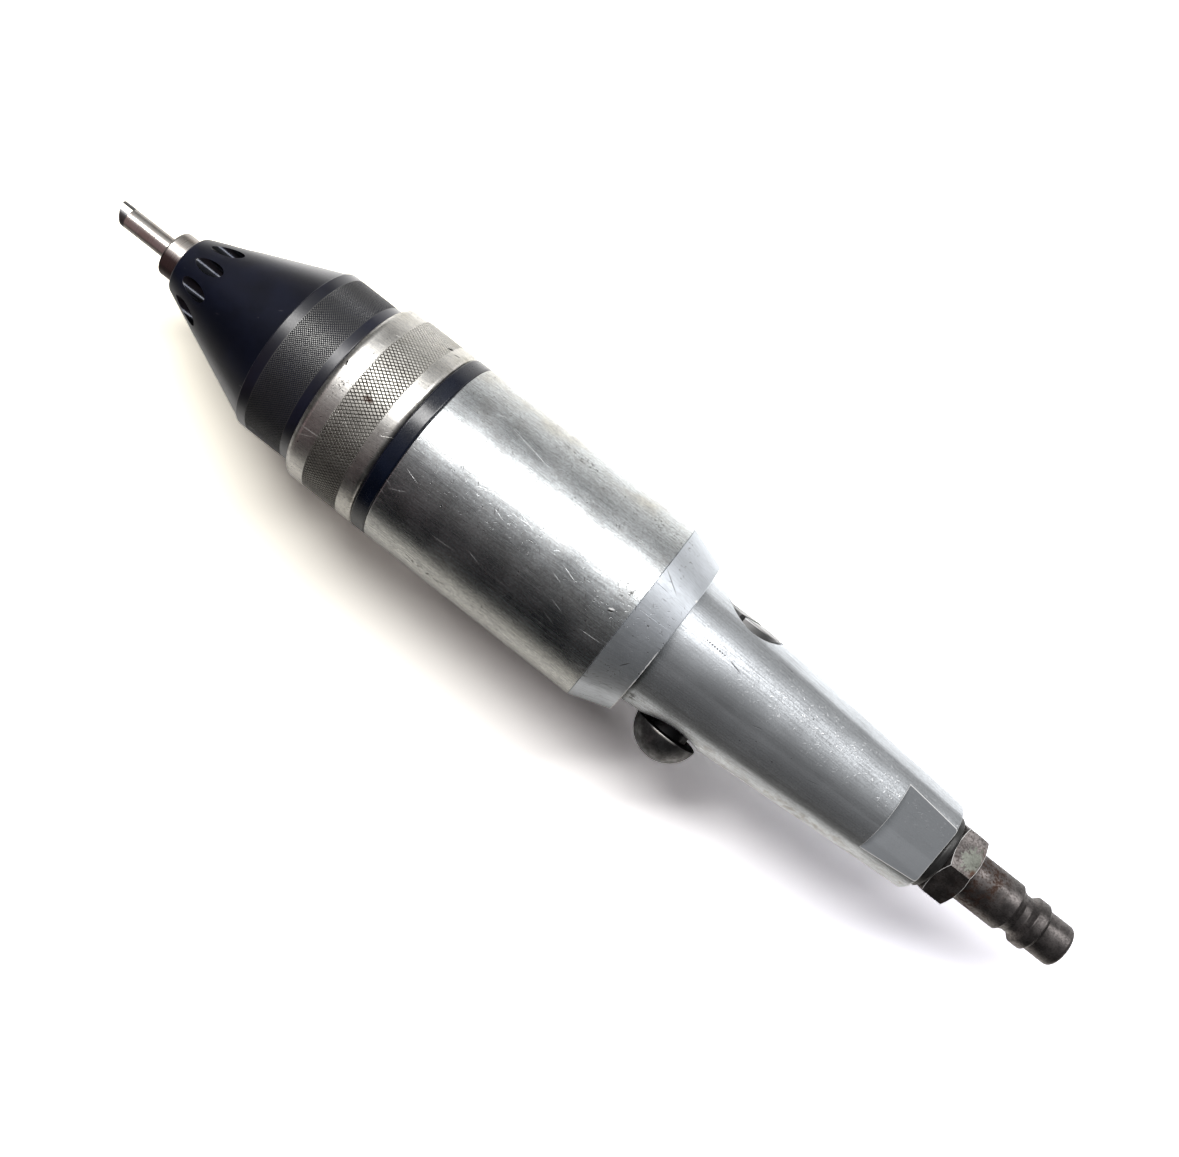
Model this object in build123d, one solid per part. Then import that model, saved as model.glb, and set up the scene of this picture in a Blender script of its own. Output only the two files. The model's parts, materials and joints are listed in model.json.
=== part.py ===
from build123d import *
from math import atan2, cos, radians, sin, sqrt, tan
import os

# Air router: a vane air motor in a round housing, a vented nose cone over the
# spindle, a tapered handle with a push-through throttle and a plug-in air nipple.
# Millimetres. The spindle axis is X with the cutter towards +X, the throttle
# button faces +Y and one wrench flat faces +Z. The origin is on the spindle axis
# at the middle of the plain cylinder of the motor housing.

# Motor housing
BODY_DIAMETER = 46.5
BODY_LENGTH = 57.6
BODY_EDGE = 0.4
TAPER_LENGTH = 9.6
TAPER_END_DIAMETER = 40.0
HOUSING_WALL = 4.75
SPIGOT_WALL = 1.9
SEAT_STEP = 2.4
SEAT_LAND = 1.5

# Joint ring and clamp ring
JOINT_RING_WIDTH = 3.8
JOINT_RING_EDGE = 0.4
CLAMP_RING_LENGTH = 19.0
CLAMP_RING_FRONT_ROUND = 2.0
CLAMP_RING_REAR_ROUND = 1.2
CLAMP_LIP = 2.1

# Nose cone
GRIP_DIAMETER = 42.2
GRIP_LENGTH = 15.0
GRIP_EDGE = 0.4
GRIP_THREAD_WALL = 3.6
CONE_LENGTH = 31.4
CONE_BASE_STEP = 0.3
CONE_TIP_WALL = 1.1
CONE_TIP_ROUND = 0.85
CONE_WALL = 2.1
CONE_NOSE_WALL = 3.8
CONE_BORE_GAP = 0.6
NOSE_HOLE_COUNT = 11
NOSE_HOLE_DIAMETER = 3.5
NOSE_HOLE_CIRCLE_STEP = 3.3
NOSE_HOLE_PHASE = 18.2

# Spindle housing
FLANGE_THICKNESS = 4.0
PILOT_LENGTH = 3.5
HUB_THREAD_LENGTH = 8.4
NOSE_CHAMBER_LENGTH = 15.5
TUBE_WALL = 1.4
SPINDLE_BORE_GAP = 0.6
EXHAUST_HOLE_COUNT = 8
EXHAUST_HOLE_DIAMETER = 4.0
EXHAUST_GROOVE_DEPTH = 1.5
EXHAUST_GROOVE_WIDTH = 5.0
EXHAUST_GROOVE_RIM = 0.6
RETAINER_LENGTH = 2.5
RETAINER_GAP = 0.7

# Ball bearings
NOSE_BEARING_BORE = 9.0
NOSE_BEARING_OUTSIDE = 17.0
NOSE_BEARING_WIDTH = 5.0
NOSE_RACE_FLOOR = 0.8
NOSE_BALL_COUNT = 9
FRONT_BEARING_BORE = 10.0
FRONT_BEARING_OUTSIDE = 26.0
FRONT_BEARING_WIDTH = 8.0
FRONT_RACE_FLOOR = 1.65
FRONT_BALL_COUNT = 7
REAR_BEARING_BORE = 8.0
REAR_BEARING_OUTSIDE = 22.0
REAR_BEARING_WIDTH = 7.0
REAR_RACE_FLOOR = 1.5
REAR_BALL_COUNT = 7
RACE_LAND = 0.6
BALL_CLEARANCE = 0.05
CAGE_MARGIN = 0.4
CAGE_CLEARANCE = 0.1
RACE_GAP = 0.3

# Vane motor
FRONT_PLATE_WEB = 2.0
REAR_PLATE_WEB = 3.0
CYLINDER_WALL = 1.5
ECCENTRICITY = 1.4
ROTOR_GAP = 0.1
ROTOR_END_GAP = 0.1
ROTOR_HUB_WALL = 1.2
HUB_HOLE_GAP = 0.5
VANE_COUNT = 5
VANE_THICKNESS = 1.5
VANE_HEIGHT = 5.6
KEY_SIZE = 2.0
KEY_LENGTH = 20.0
PORT_DEPTH = 1.5
PORT_WIDTH = 16.0
PORT_SIDE_MARGIN = 2.0
PORT_SLOT_COUNT = 4
PORT_SLOT_WIDTH = 3.0
INLET_ARC = 80.0
INLET_WIDTH = 2.4
DOWEL_DIAMETER = 2.5
SPRING_SPACE = 1.0
SPRING_THICKNESS = 0.5
SPRING_WIDTH = 2.2

# Spindle, collet and cutter
SPINDLE_COLLAR_WIDTH = 2.0
SPINDLE_COLLAR_STEP = 1.2
SPINDLE_MOUTH_WALL = 0.43
NUT_DIAMETER = 11.2
NUT_STICK_OUT = 4.7
NUT_LENGTH = 12.7
NUT_EDGE = 0.8
NUT_LIP = 1.2
NUT_FLAT_WALL = 0.4
NUT_FLAT_LENGTH = 5.0
COLLET_WALL = 0.75
COLLET_LENGTH = 20.0
COLLET_HEAD_LENGTH = 3.2
COLLET_HEAD_STEP = 0.6
COLLET_SLIT_COUNT = 3
COLLET_SLIT_WIDTH = 0.6
COLLET_UNSLIT_LENGTH = 4.0
BIT_DIAMETER = 5.0
BIT_STICK_OUT = 16.1
BIT_SHANK_IN_COLLET = 18.5
BIT_FORK_DEPTH = 3.4
BIT_FORK_WIDTH = 1.3
BIT_FORK_TURN = 6.0
BIT_THIN_PRONG = 0.75
BIT_LIP_RAKE = 25.0
BIT_SHANK_ROOM = 2.0
BEARING_NUT_WIDTH = 4.0
BEARING_NUT_ACROSS_FLATS = 12.0
SPINDLE_TAIL_ROOM = 1.0

# Handle
HANDLE_LENGTH = 74.6
HANDLE_ROOT_DIAMETER = 33.5
HANDLE_SHOULDER_STEP = 0.25
HANDLE_SPIGOT_LENGTH = 9.4
HANDLE_END_DIAMETER = 23.1
HANDLE_END_EDGE = 0.7
FLAT_WIDTH_ACROSS = 18.0
FLAT_LENGTH = 14.1
INLET_THREAD_DIAMETER = 13.2
INLET_THREAD_DEPTH = 12.5
INLET_BORE_DIAMETER = 10.4
OUTLET_BORE_DIAMETER = 10.0
THROAT_DIAMETER = 5.0
THROAT_HALF_LENGTH = 9.0
SEAL_SECTION = 1.6
SEAL_FROM_SHOULDER = 6.4

# Throttle spool, its two heads and seals
THROTTLE_FROM_SHOULDER = 13.2
SPOOL_DIAMETER = 10.0
SPOOL_TRAVEL = 5.5
SPOOL_GROOVE_DEPTH = 2.0
SPOOL_SEAL_SECTION = 1.3
SPOOL_SEAL_LAND = 0.4
STUB_DIAMETER = 5.0
STUB_LENGTH = 2.4
COUNTERBORE_GAP = 0.4
COUNTERBORE_DEPTH = 5.23
BUTTON_DIAMETER = 15.7
BUTTON_HEIGHT = 7.25
BUTTON_RIM = 0.6
CAP_GAP = 0.6
CAP_THICKNESS = 4.5
CAP_EDGE = 0.5
CAP_SLOT_WIDTH = 1.2
CAP_SLOT_DEPTH = 1.6
CAP_SLOT_TURN = 24.0

# Air nipple, washer and screen
WASHER_THICKNESS = 2.4
WASHER_DIAMETER = 18.8
HEX_ACROSS_FLATS = 17.0
HEX_LENGTH = 6.6
HEX_TURN = 3.0
HEX_CHAMFER_ANGLE = 30.0
PLUG_DIAMETER = 12.0
PLUG_SHANK_LENGTH = 13.2
PLUG_GROOVE_WALL = 1.05
PLUG_GROOVE_LENGTH = 3.3
PLUG_GROOVE_SLOPE = 1.2
PLUG_COLLAR_LENGTH = 3.9
PLUG_TIP_DIAMETER = 10.3
PLUG_TIP_LENGTH = 6.8
PLUG_EDGE = 0.7
PLUG_TIP_ROUND = 1.1
NIPPLE_BORE_DIAMETER = 7.5
SCREEN_FLANGE_THICKNESS = 1.0
SCREEN_LENGTH = 13.0
SCREEN_WALL = 0.6
SCREEN_GAP = 0.5
SCREEN_HOLE_DIAMETER = 1.6
SCREEN_ROWS = 3
SCREEN_HOLES_PER_ROW = 6

# Clearances: radial unless named otherwise
THREAD_CLEARANCE = 0.1
SEAT_CLEARANCE = 0.05
JOURNAL_CLEARANCE = 0.01
RUNNING_CLEARANCE = 0.04
COLLET_CLEARANCE = 0.08
VANE_CLEARANCE = 0.05
HEAD_CLEARANCE = 0.1
LIP_CLEARANCE = 0.4
FLANGE_CLEARANCE = 0.2

# Reach of a cutting shape past the piece that it cuts, the most of a wall that a
# rounding may take, and how close an edge has to be to be found by its place
OVERCUT = 2.0
ROUND_SHARE = 0.8
EDGE_MATCH = 0.001

# Radii and stations of the outside
body_radius = BODY_DIAMETER / 2
grip_radius = GRIP_DIAMETER / 2
x_body_front = BODY_LENGTH / 2
x_body_rear = -BODY_LENGTH / 2
x_shoulder = x_body_rear - TAPER_LENGTH
x_clamp_rear = x_body_front + JOINT_RING_WIDTH
x_clamp_front = x_clamp_rear + CLAMP_RING_LENGTH
x_grip_front = x_clamp_front + GRIP_LENGTH
x_nose = x_grip_front + CONE_LENGTH
x_nut_front = x_nose + NUT_STICK_OUT
x_nut_rear = x_nut_front - NUT_LENGTH
x_bit_tip = x_nut_front + BIT_STICK_OUT
x_handle_end = x_shoulder - HANDLE_LENGTH
x_hex_front = x_handle_end - WASHER_THICKNESS
x_hex_rear = x_hex_front - HEX_LENGTH

# Radii and stations of the motor, which fills the housing between its seats
bore_radius = body_radius - HOUSING_WALL
spigot_radius = bore_radius + SPIGOT_WALL
stack_radius = bore_radius - SEAT_CLEARANCE
seat_radius = bore_radius - SEAT_STEP
handle_thread_radius = HANDLE_ROOT_DIAMETER / 2 - HANDLE_SHOULDER_STEP
x_handle_front = x_shoulder + HANDLE_SPIGOT_LENGTH
x_bearing_nut_rear = x_handle_front + SPINDLE_TAIL_ROOM
x_motor_seat = x_bearing_nut_rear + BEARING_NUT_WIDTH
x_flange_front = x_clamp_front - CLAMP_LIP
x_flange_rear = x_flange_front - FLANGE_THICKNESS
x_front_plate_front = x_flange_rear - PILOT_LENGTH
x_front_bearing_front = x_front_plate_front - SPRING_SPACE
x_front_bearing_rear = x_front_bearing_front - FRONT_BEARING_WIDTH
x_cylinder_front = x_front_bearing_rear - FRONT_PLATE_WEB
x_rear_bearing_rear = x_motor_seat
x_rear_bearing_front = x_rear_bearing_rear + REAR_BEARING_WIDTH
x_cylinder_rear = x_rear_bearing_front + REAR_PLATE_WEB
cylinder_bore_radius = stack_radius - CYLINDER_WALL - ECCENTRICITY
rotor_radius = cylinder_bore_radius - ECCENTRICITY - ROTOR_GAP
x_rotor_front = x_cylinder_front - ROTOR_END_GAP
x_rotor_rear = x_cylinder_rear + ROTOR_END_GAP
rotor_bore_radius = FRONT_BEARING_BORE / 2
rotor_hub_radius = rotor_bore_radius + ROTOR_HUB_WALL
hub_hole_radius = rotor_hub_radius + HUB_HOLE_GAP
vane_slot_width = VANE_THICKNESS + 2 * VANE_CLEARANCE
vane_slot_bottom = rotor_radius - VANE_HEIGHT - 2 * VANE_CLEARANCE
port_face = stack_radius - PORT_DEPTH
thick_wall_inside = cylinder_bore_radius - ECCENTRICITY
dowel_circle_radius = (thick_wall_inside + stack_radius) / 2

# Radii and stations of the nose
nose_thread_radius = grip_radius - GRIP_THREAD_WALL
hub_radius = nose_thread_radius - THREAD_CLEARANCE
x_hub_front = x_clamp_front + HUB_THREAD_LENGTH
x_tube_front = x_nose - NOSE_CHAMBER_LENGTH
x_nose_bearing_front = x_tube_front - RETAINER_LENGTH
x_nose_bearing_rear = x_nose_bearing_front - NOSE_BEARING_WIDTH
nose_seat_radius = NOSE_BEARING_OUTSIDE / 2 + JOURNAL_CLEARANCE
tube_radius = nose_seat_radius + TUBE_WALL
exhaust_circle_radius = (tube_radius + hub_radius) / 2
nose_bore_radius = NUT_DIAMETER / 2 + CONE_BORE_GAP
cone_tip_radius = nose_bore_radius + CONE_TIP_WALL
cone_base_radius = grip_radius - CONE_BASE_STEP
cone_slope = (cone_base_radius - cone_tip_radius) / CONE_LENGTH

# Radii and stations of the collet and cutter
bit_radius = BIT_DIAMETER / 2
collet_bore_radius = bit_radius + RUNNING_CLEARANCE
collet_radius = collet_bore_radius + COLLET_WALL
collet_head_radius = collet_radius + COLLET_HEAD_STEP
x_collet_front = x_nut_front - NUT_LIP - HEAD_CLEARANCE
x_collet_rear = x_collet_front - COLLET_LENGTH
x_spindle_front = x_collet_front - COLLET_HEAD_LENGTH
x_bit_rear = x_collet_front - BIT_SHANK_IN_COLLET
collet_socket_radius = collet_radius + COLLET_CLEARANCE
spindle_mouth_radius = collet_socket_radius + COLLET_HEAD_STEP
nut_thread_radius = spindle_mouth_radius + SPINDLE_MOUTH_WALL
nut_bore_radius = nut_thread_radius + THREAD_CLEARANCE
spindle_radius = rotor_bore_radius - JOURNAL_CLEARANCE
spindle_collar_radius = spindle_radius + SPINDLE_COLLAR_STEP


def handle_radius(x):
    """Outside radius of the handle's taper at a station."""
    share = (x_shoulder - x) / HANDLE_LENGTH
    return (HANDLE_ROOT_DIAMETER + (HANDLE_END_DIAMETER - HANDLE_ROOT_DIAMETER) * share) / 2


# Radii and stations of the throttle, along Y from the spindle axis
x_throttle = x_shoulder - THROTTLE_FROM_SHOULDER
spool_radius = SPOOL_DIAMETER / 2
spool_bore_radius = spool_radius + RUNNING_CLEARANCE
counterbore_radius = BUTTON_DIAMETER / 2 + COUNTERBORE_GAP
counterbore_floor = handle_radius(x_throttle) - COUNTERBORE_DEPTH
cap_radius = counterbore_radius - CAP_GAP
y_cap_inside = -(counterbore_floor + HEAD_CLEARANCE)
y_cap_outside = y_cap_inside - CAP_THICKNESS
y_button_base = counterbore_floor + HEAD_CLEARANCE + SPOOL_TRAVEL
throat_radius = THROAT_DIAMETER / 2
seal_groove_width = SPOOL_SEAL_SECTION + 2 * VANE_CLEARANCE
y_rear_seal = -(throat_radius + SPOOL_SEAL_LAND + seal_groove_width / 2)
y_front_seal = SPOOL_TRAVEL - y_rear_seal
y_groove_start = throat_radius + SPOOL_SEAL_LAND
y_groove_end = y_front_seal - seal_groove_width / 2 - SPOOL_SEAL_LAND

# Stations of the plug, towards the tail
plug_radius = PLUG_DIAMETER / 2
x_plug_groove_front = x_hex_rear - PLUG_SHANK_LENGTH
x_plug_groove_rear = x_plug_groove_front - PLUG_GROOVE_LENGTH
x_plug_collar_rear = x_plug_groove_rear - PLUG_COLLAR_LENGTH
x_plug_end = x_plug_collar_rear - PLUG_TIP_LENGTH
x_screen_seat = x_handle_end + INLET_THREAD_DEPTH
x_nipple_front = x_screen_seat - SCREEN_FLANGE_THICKNESS
inlet_thread_radius = INLET_THREAD_DIAMETER / 2
nipple_thread_radius = inlet_thread_radius - THREAD_CLEARANCE


def turned(*points):
    """Solid turned about the spindle axis from (station, radius) corners."""
    outline = Polyline(*points, close=True)
    return revolve(make_face(outline), Axis.X)


def ring(x_low, x_high, inner, outer):
    """Plain ring between two stations."""
    return turned((x_low, inner), (x_high, inner), (x_high, outer), (x_low, outer))


def rod(x_low, x_high, radius):
    """Plain round rod between two stations."""
    return turned((x_low, 0), (x_high, 0), (x_high, radius), (x_low, radius))


def rim(solid, x, radius):
    """Circular edges of a turned solid at one station and radius."""
    found = []
    for edge in solid.edges().filter_by(GeomType.CIRCLE):
        at_station = abs(edge.arc_center.X - x) < EDGE_MATCH
        if at_station and abs(edge.radius - radius) < EDGE_MATCH:
            found.append(edge)
    return found


def around(shape, count, phase=0.0):
    """Copies of a shape spaced evenly about the spindle axis."""
    copies = []
    for index in range(count):
        angle = phase + 360.0 * index / count
        copies.append(shape.rotate(Axis.X, angle))
    return copies


def cross_turned(*points):
    """Solid turned about the throttle axis from (Y, radius) corners."""
    corners = [(radius, y) for y, radius in points]
    outline = Polyline(*corners, close=True)
    solid = revolve(make_face(outline), Axis.Y)
    return Pos(x_throttle, 0, 0) * solid


def cross_rod(y_low, y_high, radius):
    """Plain round rod on the throttle axis."""
    return cross_turned((y_low, 0), (y_high, 0), (y_high, radius), (y_low, radius))


def hexagon(x_low, x_high, across_flats):
    """Hexagonal prism along the spindle axis with a corner on top."""
    corner_radius = across_flats / sqrt(3)
    face = Plane.YZ.offset(x_low) * RegularPolygon(corner_radius, 6, rotation=90)
    return extrude(face, x_high - x_low)


def make_motor_housing():
    solid = turned(
        (x_shoulder, TAPER_END_DIAMETER / 2),
        (x_body_rear, body_radius),
        (x_body_front, body_radius),
        (x_body_front, spigot_radius),
        (x_flange_rear, spigot_radius),
        (x_flange_rear, bore_radius),
        (x_motor_seat, bore_radius),
        (x_motor_seat, seat_radius),
        (x_motor_seat - SEAT_LAND, seat_radius),
        (x_motor_seat - SEAT_LAND, handle_thread_radius),
        (x_shoulder, handle_thread_radius),
    )
    return chamfer(rim(solid, x_body_front, body_radius), BODY_EDGE)


def make_joint_ring():
    inner = spigot_radius + THREAD_CLEARANCE
    solid = ring(x_body_front, x_clamp_rear, inner, body_radius)
    edges = rim(solid, x_body_front, body_radius) + rim(solid, x_clamp_rear, body_radius)
    return chamfer(edges, JOINT_RING_EDGE)


def make_clamp_ring():
    inner = spigot_radius + THREAD_CLEARANCE
    lip_radius = hub_radius + LIP_CLEARANCE
    solid = turned(
        (x_clamp_rear, inner),
        (x_flange_front, inner),
        (x_flange_front, lip_radius),
        (x_clamp_front, lip_radius),
        (x_clamp_front, body_radius),
        (x_clamp_rear, body_radius),
    )
    solid = fillet(rim(solid, x_clamp_front, body_radius), CLAMP_RING_FRONT_ROUND)
    return fillet(rim(solid, x_clamp_rear, body_radius), CLAMP_RING_REAR_ROUND)


def make_nose_cone():
    # The bore tapers a little faster than the outside, so the wall thickens towards the nose.
    x_bore_front = x_nose - (nose_bore_radius + CONE_NOSE_WALL - cone_tip_radius) / cone_slope
    x_bore_rear = x_nose - (nose_thread_radius + CONE_WALL - cone_tip_radius) / cone_slope
    solid = turned(
        (x_clamp_front, grip_radius),
        (x_grip_front, grip_radius),
        (x_grip_front, cone_base_radius),
        (x_nose, cone_tip_radius),
        (x_nose, nose_bore_radius),
        (x_bore_front, nose_bore_radius),
        (x_bore_rear, nose_thread_radius),
        (x_clamp_front, nose_thread_radius),
    )
    tip_round = min(CONE_TIP_ROUND, ROUND_SHARE * CONE_TIP_WALL)
    solid = fillet(rim(solid, x_nose, cone_tip_radius), tip_round)
    solid = chamfer(rim(solid, x_clamp_front, grip_radius), GRIP_EDGE)
    # Exhaust holes, drilled along the spindle so that they break out through the cone.
    hole = rod(x_bore_rear, x_nose + OVERCUT, NOSE_HOLE_DIAMETER / 2)
    hole = Pos(0, 0, cone_tip_radius + NOSE_HOLE_CIRCLE_STEP) * hole
    return solid - around(hole, NOSE_HOLE_COUNT, NOSE_HOLE_PHASE)


def make_spindle_housing():
    flange_radius = spigot_radius - FLANGE_CLEARANCE
    bore = spindle_collar_radius + SPINDLE_BORE_GAP
    solid = turned(
        (x_front_plate_front, bore),
        (x_nose_bearing_rear, bore),
        (x_nose_bearing_rear, nose_seat_radius),
        (x_tube_front, nose_seat_radius),
        (x_tube_front, tube_radius),
        (x_hub_front, tube_radius),
        (x_hub_front, hub_radius),
        (x_flange_front, hub_radius),
        (x_flange_front, flange_radius),
        (x_flange_rear, flange_radius),
        (x_flange_rear, stack_radius),
        (x_front_plate_front, stack_radius),
    )
    # A ring groove in the rear face gathers the exhaust for the holes.
    groove_outside = stack_radius - EXHAUST_GROOVE_RIM
    groove = ring(
        x_front_plate_front,
        x_front_plate_front + EXHAUST_GROOVE_DEPTH,
        groove_outside - EXHAUST_GROOVE_WIDTH,
        groove_outside,
    )
    hole = rod(x_front_plate_front - OVERCUT, x_hub_front + OVERCUT, EXHAUST_HOLE_DIAMETER / 2)
    hole = Pos(0, 0, exhaust_circle_radius) * hole
    return solid - groove - around(hole, EXHAUST_HOLE_COUNT)


def make_bearing_retainer():
    inner = nut_thread_radius + RETAINER_GAP
    outer = NOSE_BEARING_OUTSIDE / 2 - SEAT_CLEARANCE
    return ring(x_nose_bearing_front, x_tube_front, inner, outer)


def make_bearing(x_rear, width, bore, outside, race_floor, ball_count):
    """Outer race, inner race, balls and window cage of one deep groove ball bearing."""
    x_middle = x_rear + width / 2
    pitch = (bore + outside) / 4
    ball_radius = (outside - bore) / 4 - race_floor
    land = RACE_LAND * ball_radius
    raceway = Rot(0, 90, 0) * Torus(pitch, ball_radius + BALL_CLEARANCE)
    raceway = Pos(x_middle, 0, 0) * raceway
    outer_race = ring(x_rear, x_rear + width, pitch + land, outside / 2) - raceway
    inner_race = ring(x_rear, x_rear + width, bore / 2, pitch - land) - raceway
    ball = Pos(x_middle, 0, pitch) * Sphere(ball_radius)
    pocket = Pos(x_middle, 0, pitch) * Sphere(ball_radius + CAGE_CLEARANCE)
    cage_half_width = ball_radius + CAGE_MARGIN
    cage_half_wall = land - RACE_GAP
    cage = ring(
        x_middle - cage_half_width,
        x_middle + cage_half_width,
        pitch - cage_half_wall,
        pitch + cage_half_wall,
    )
    cage = cage - around(pocket, ball_count)
    balls = Compound(around(ball, ball_count))
    return outer_race, inner_race, balls, cage


def make_front_end_plate():
    seat = FRONT_BEARING_OUTSIDE / 2 + JOURNAL_CLEARANCE
    solid = turned(
        (x_cylinder_front, hub_hole_radius),
        (x_front_bearing_rear, hub_hole_radius),
        (x_front_bearing_rear, seat),
        (x_front_plate_front, seat),
        (x_front_plate_front, stack_radius),
        (x_cylinder_front, stack_radius),
    )
    return solid - port_flat(x_cylinder_front, x_front_plate_front) - dowel(SEAT_CLEARANCE)


def port_flat(x_low, x_high):
    """Cutting block for the flat that carries exhaust air forward along the motor."""
    length = x_high - x_low
    depth = stack_radius - port_face + OVERCUT
    block = Box(length, depth, PORT_WIDTH)
    return Pos(x_low + length / 2, -port_face - depth / 2, 0) * block


def dowel(clearance):
    """Dowel through the cylinder's thick wall and into the webs of both end plates."""
    radius = DOWEL_DIAMETER / 2 + clearance
    return Pos(0, 0, -dowel_circle_radius) * rod(x_rear_bearing_front, x_front_bearing_rear, radius)


def make_cylinder():
    solid = rod(x_cylinder_rear, x_cylinder_front, stack_radius)
    bore = rod(x_cylinder_rear - OVERCUT, x_cylinder_front + OVERCUT, cylinder_bore_radius)
    solid = solid - Pos(0, 0, ECCENTRICITY) * bore
    length = x_cylinder_front - x_cylinder_rear
    # The exhaust flat starts behind the last port and runs out at the front plate.
    x_flat_rear = x_cylinder_rear + length / (PORT_SLOT_COUNT + 1) - PORT_SLOT_WIDTH
    solid = solid - port_flat(x_flat_rear, x_cylinder_front)
    port = Box(PORT_SLOT_WIDTH, stack_radius, PORT_WIDTH - 2 * PORT_SIDE_MARGIN)
    for index in range(PORT_SLOT_COUNT):
        x_port = x_cylinder_rear + length * (index + 1) / (PORT_SLOT_COUNT + 1)
        solid = solid - Pos(x_port, -stack_radius, 0) * port
    return solid - dowel(SEAT_CLEARANCE)


def make_rear_end_plate():
    seat = REAR_BEARING_OUTSIDE / 2 + JOURNAL_CLEARANCE
    solid = turned(
        (x_motor_seat, seat),
        (x_rear_bearing_front, seat),
        (x_rear_bearing_front, hub_hole_radius),
        (x_cylinder_rear, hub_hole_radius),
        (x_cylinder_rear, stack_radius),
        (x_motor_seat, stack_radius),
    )
    # Curved inlet port, centred on the button side.
    inlet_outside = cylinder_bore_radius
    x_low = x_motor_seat - OVERCUT
    x_high = x_cylinder_rear + OVERCUT
    section = Polyline(
        (x_low, inlet_outside - INLET_WIDTH),
        (x_high, inlet_outside - INLET_WIDTH),
        (x_high, inlet_outside),
        (x_low, inlet_outside),
        close=True,
    )
    inlet = revolve(make_face(section), Axis.X, INLET_ARC).rotate(Axis.X, -INLET_ARC / 2)
    return solid - inlet - dowel(SEAT_CLEARANCE)


def key_block(clearance):
    """Key between spindle and rotor, half in each, between two vane slots."""
    size = KEY_SIZE + 2 * clearance
    x_middle = (x_rotor_front + x_rotor_rear) / 2
    angle = 180.0 / VANE_COUNT
    block = Box(KEY_LENGTH + 2 * clearance, size, size)
    return (Pos(x_middle, 0, rotor_bore_radius) * block).rotate(Axis.X, angle)


def make_rotor():
    bore = rotor_bore_radius + JOURNAL_CLEARANCE
    solid = turned(
        (x_rear_bearing_front, bore),
        (x_front_bearing_rear, bore),
        (x_front_bearing_rear, rotor_hub_radius),
        (x_rotor_front, rotor_hub_radius),
        (x_rotor_front, rotor_radius),
        (x_rotor_rear, rotor_radius),
        (x_rotor_rear, rotor_hub_radius),
        (x_rear_bearing_front, rotor_hub_radius),
    )
    length = x_rotor_front - x_rotor_rear
    depth = rotor_radius - vane_slot_bottom + OVERCUT
    slot = Box(length, vane_slot_width, depth)
    x_middle = (x_rotor_front + x_rotor_rear) / 2
    slot = Pos(x_middle, 0, vane_slot_bottom + depth / 2) * slot
    return solid - around(slot, VANE_COUNT) - key_block(VANE_CLEARANCE)


def make_rotor_vanes():
    length = x_rotor_front - x_rotor_rear
    x_middle = (x_rotor_front + x_rotor_rear) / 2
    vane = Box(length, VANE_THICKNESS, VANE_HEIGHT)
    middle_radius = rotor_radius - VANE_CLEARANCE - VANE_HEIGHT / 2
    vane = Pos(x_middle, 0, middle_radius) * vane
    return Compound(around(vane, VANE_COUNT))


def make_spindle():
    rear_journal = REAR_BEARING_BORE / 2 - JOURNAL_CLEARANCE
    nose_journal = NOSE_BEARING_BORE / 2 - JOURNAL_CLEARANCE
    x_collar_front = x_front_bearing_front + SPINDLE_COLLAR_WIDTH
    shank_radius = collet_bore_radius + COLLET_CLEARANCE
    x_socket_rear = x_collet_rear - COLLET_CLEARANCE
    x_shank_rear = min(x_bit_rear, x_collet_rear) - BIT_SHANK_ROOM
    # The mouth opens at 45 degrees to seat the head of the collet.
    solid = turned(
        (x_bearing_nut_rear, 0),
        (x_shank_rear, 0),
        (x_shank_rear, shank_radius),
        (x_socket_rear, shank_radius),
        (x_socket_rear, collet_socket_radius),
        (x_spindle_front - COLLET_HEAD_STEP, collet_socket_radius),
        (x_spindle_front, spindle_mouth_radius),
        (x_spindle_front, nut_thread_radius),
        (x_nose_bearing_front, nut_thread_radius),
        (x_nose_bearing_front, nose_journal),
        (x_nose_bearing_rear, nose_journal),
        (x_nose_bearing_rear, spindle_radius),
        (x_collar_front, spindle_radius),
        (x_collar_front, spindle_collar_radius),
        (x_front_bearing_front, spindle_collar_radius),
        (x_front_bearing_front, spindle_radius),
        (x_rear_bearing_front, spindle_radius),
        (x_rear_bearing_front, rear_journal),
        (x_bearing_nut_rear, rear_journal),
    )
    return solid - key_block(VANE_CLEARANCE)


def make_bearing_nut():
    nut = hexagon(x_bearing_nut_rear, x_rear_bearing_rear, BEARING_NUT_ACROSS_FLATS)
    hole = rod(
        x_bearing_nut_rear - OVERCUT,
        x_rear_bearing_rear + OVERCUT,
        REAR_BEARING_BORE / 2 + JOURNAL_CLEARANCE,
    )
    return nut - hole


def make_preload_spring():
    # A disc spring: its outer edge bears on the outer race, its inner edge on the pilot.
    outer = FRONT_BEARING_OUTSIDE / 2 - SEAT_CLEARANCE
    inner = outer - SPRING_WIDTH
    x_low = x_front_bearing_front
    x_high = x_front_plate_front
    return turned(
        (x_low, outer),
        (x_low + SPRING_THICKNESS, outer),
        (x_high, inner),
        (x_high - SPRING_THICKNESS, inner),
    )


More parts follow.
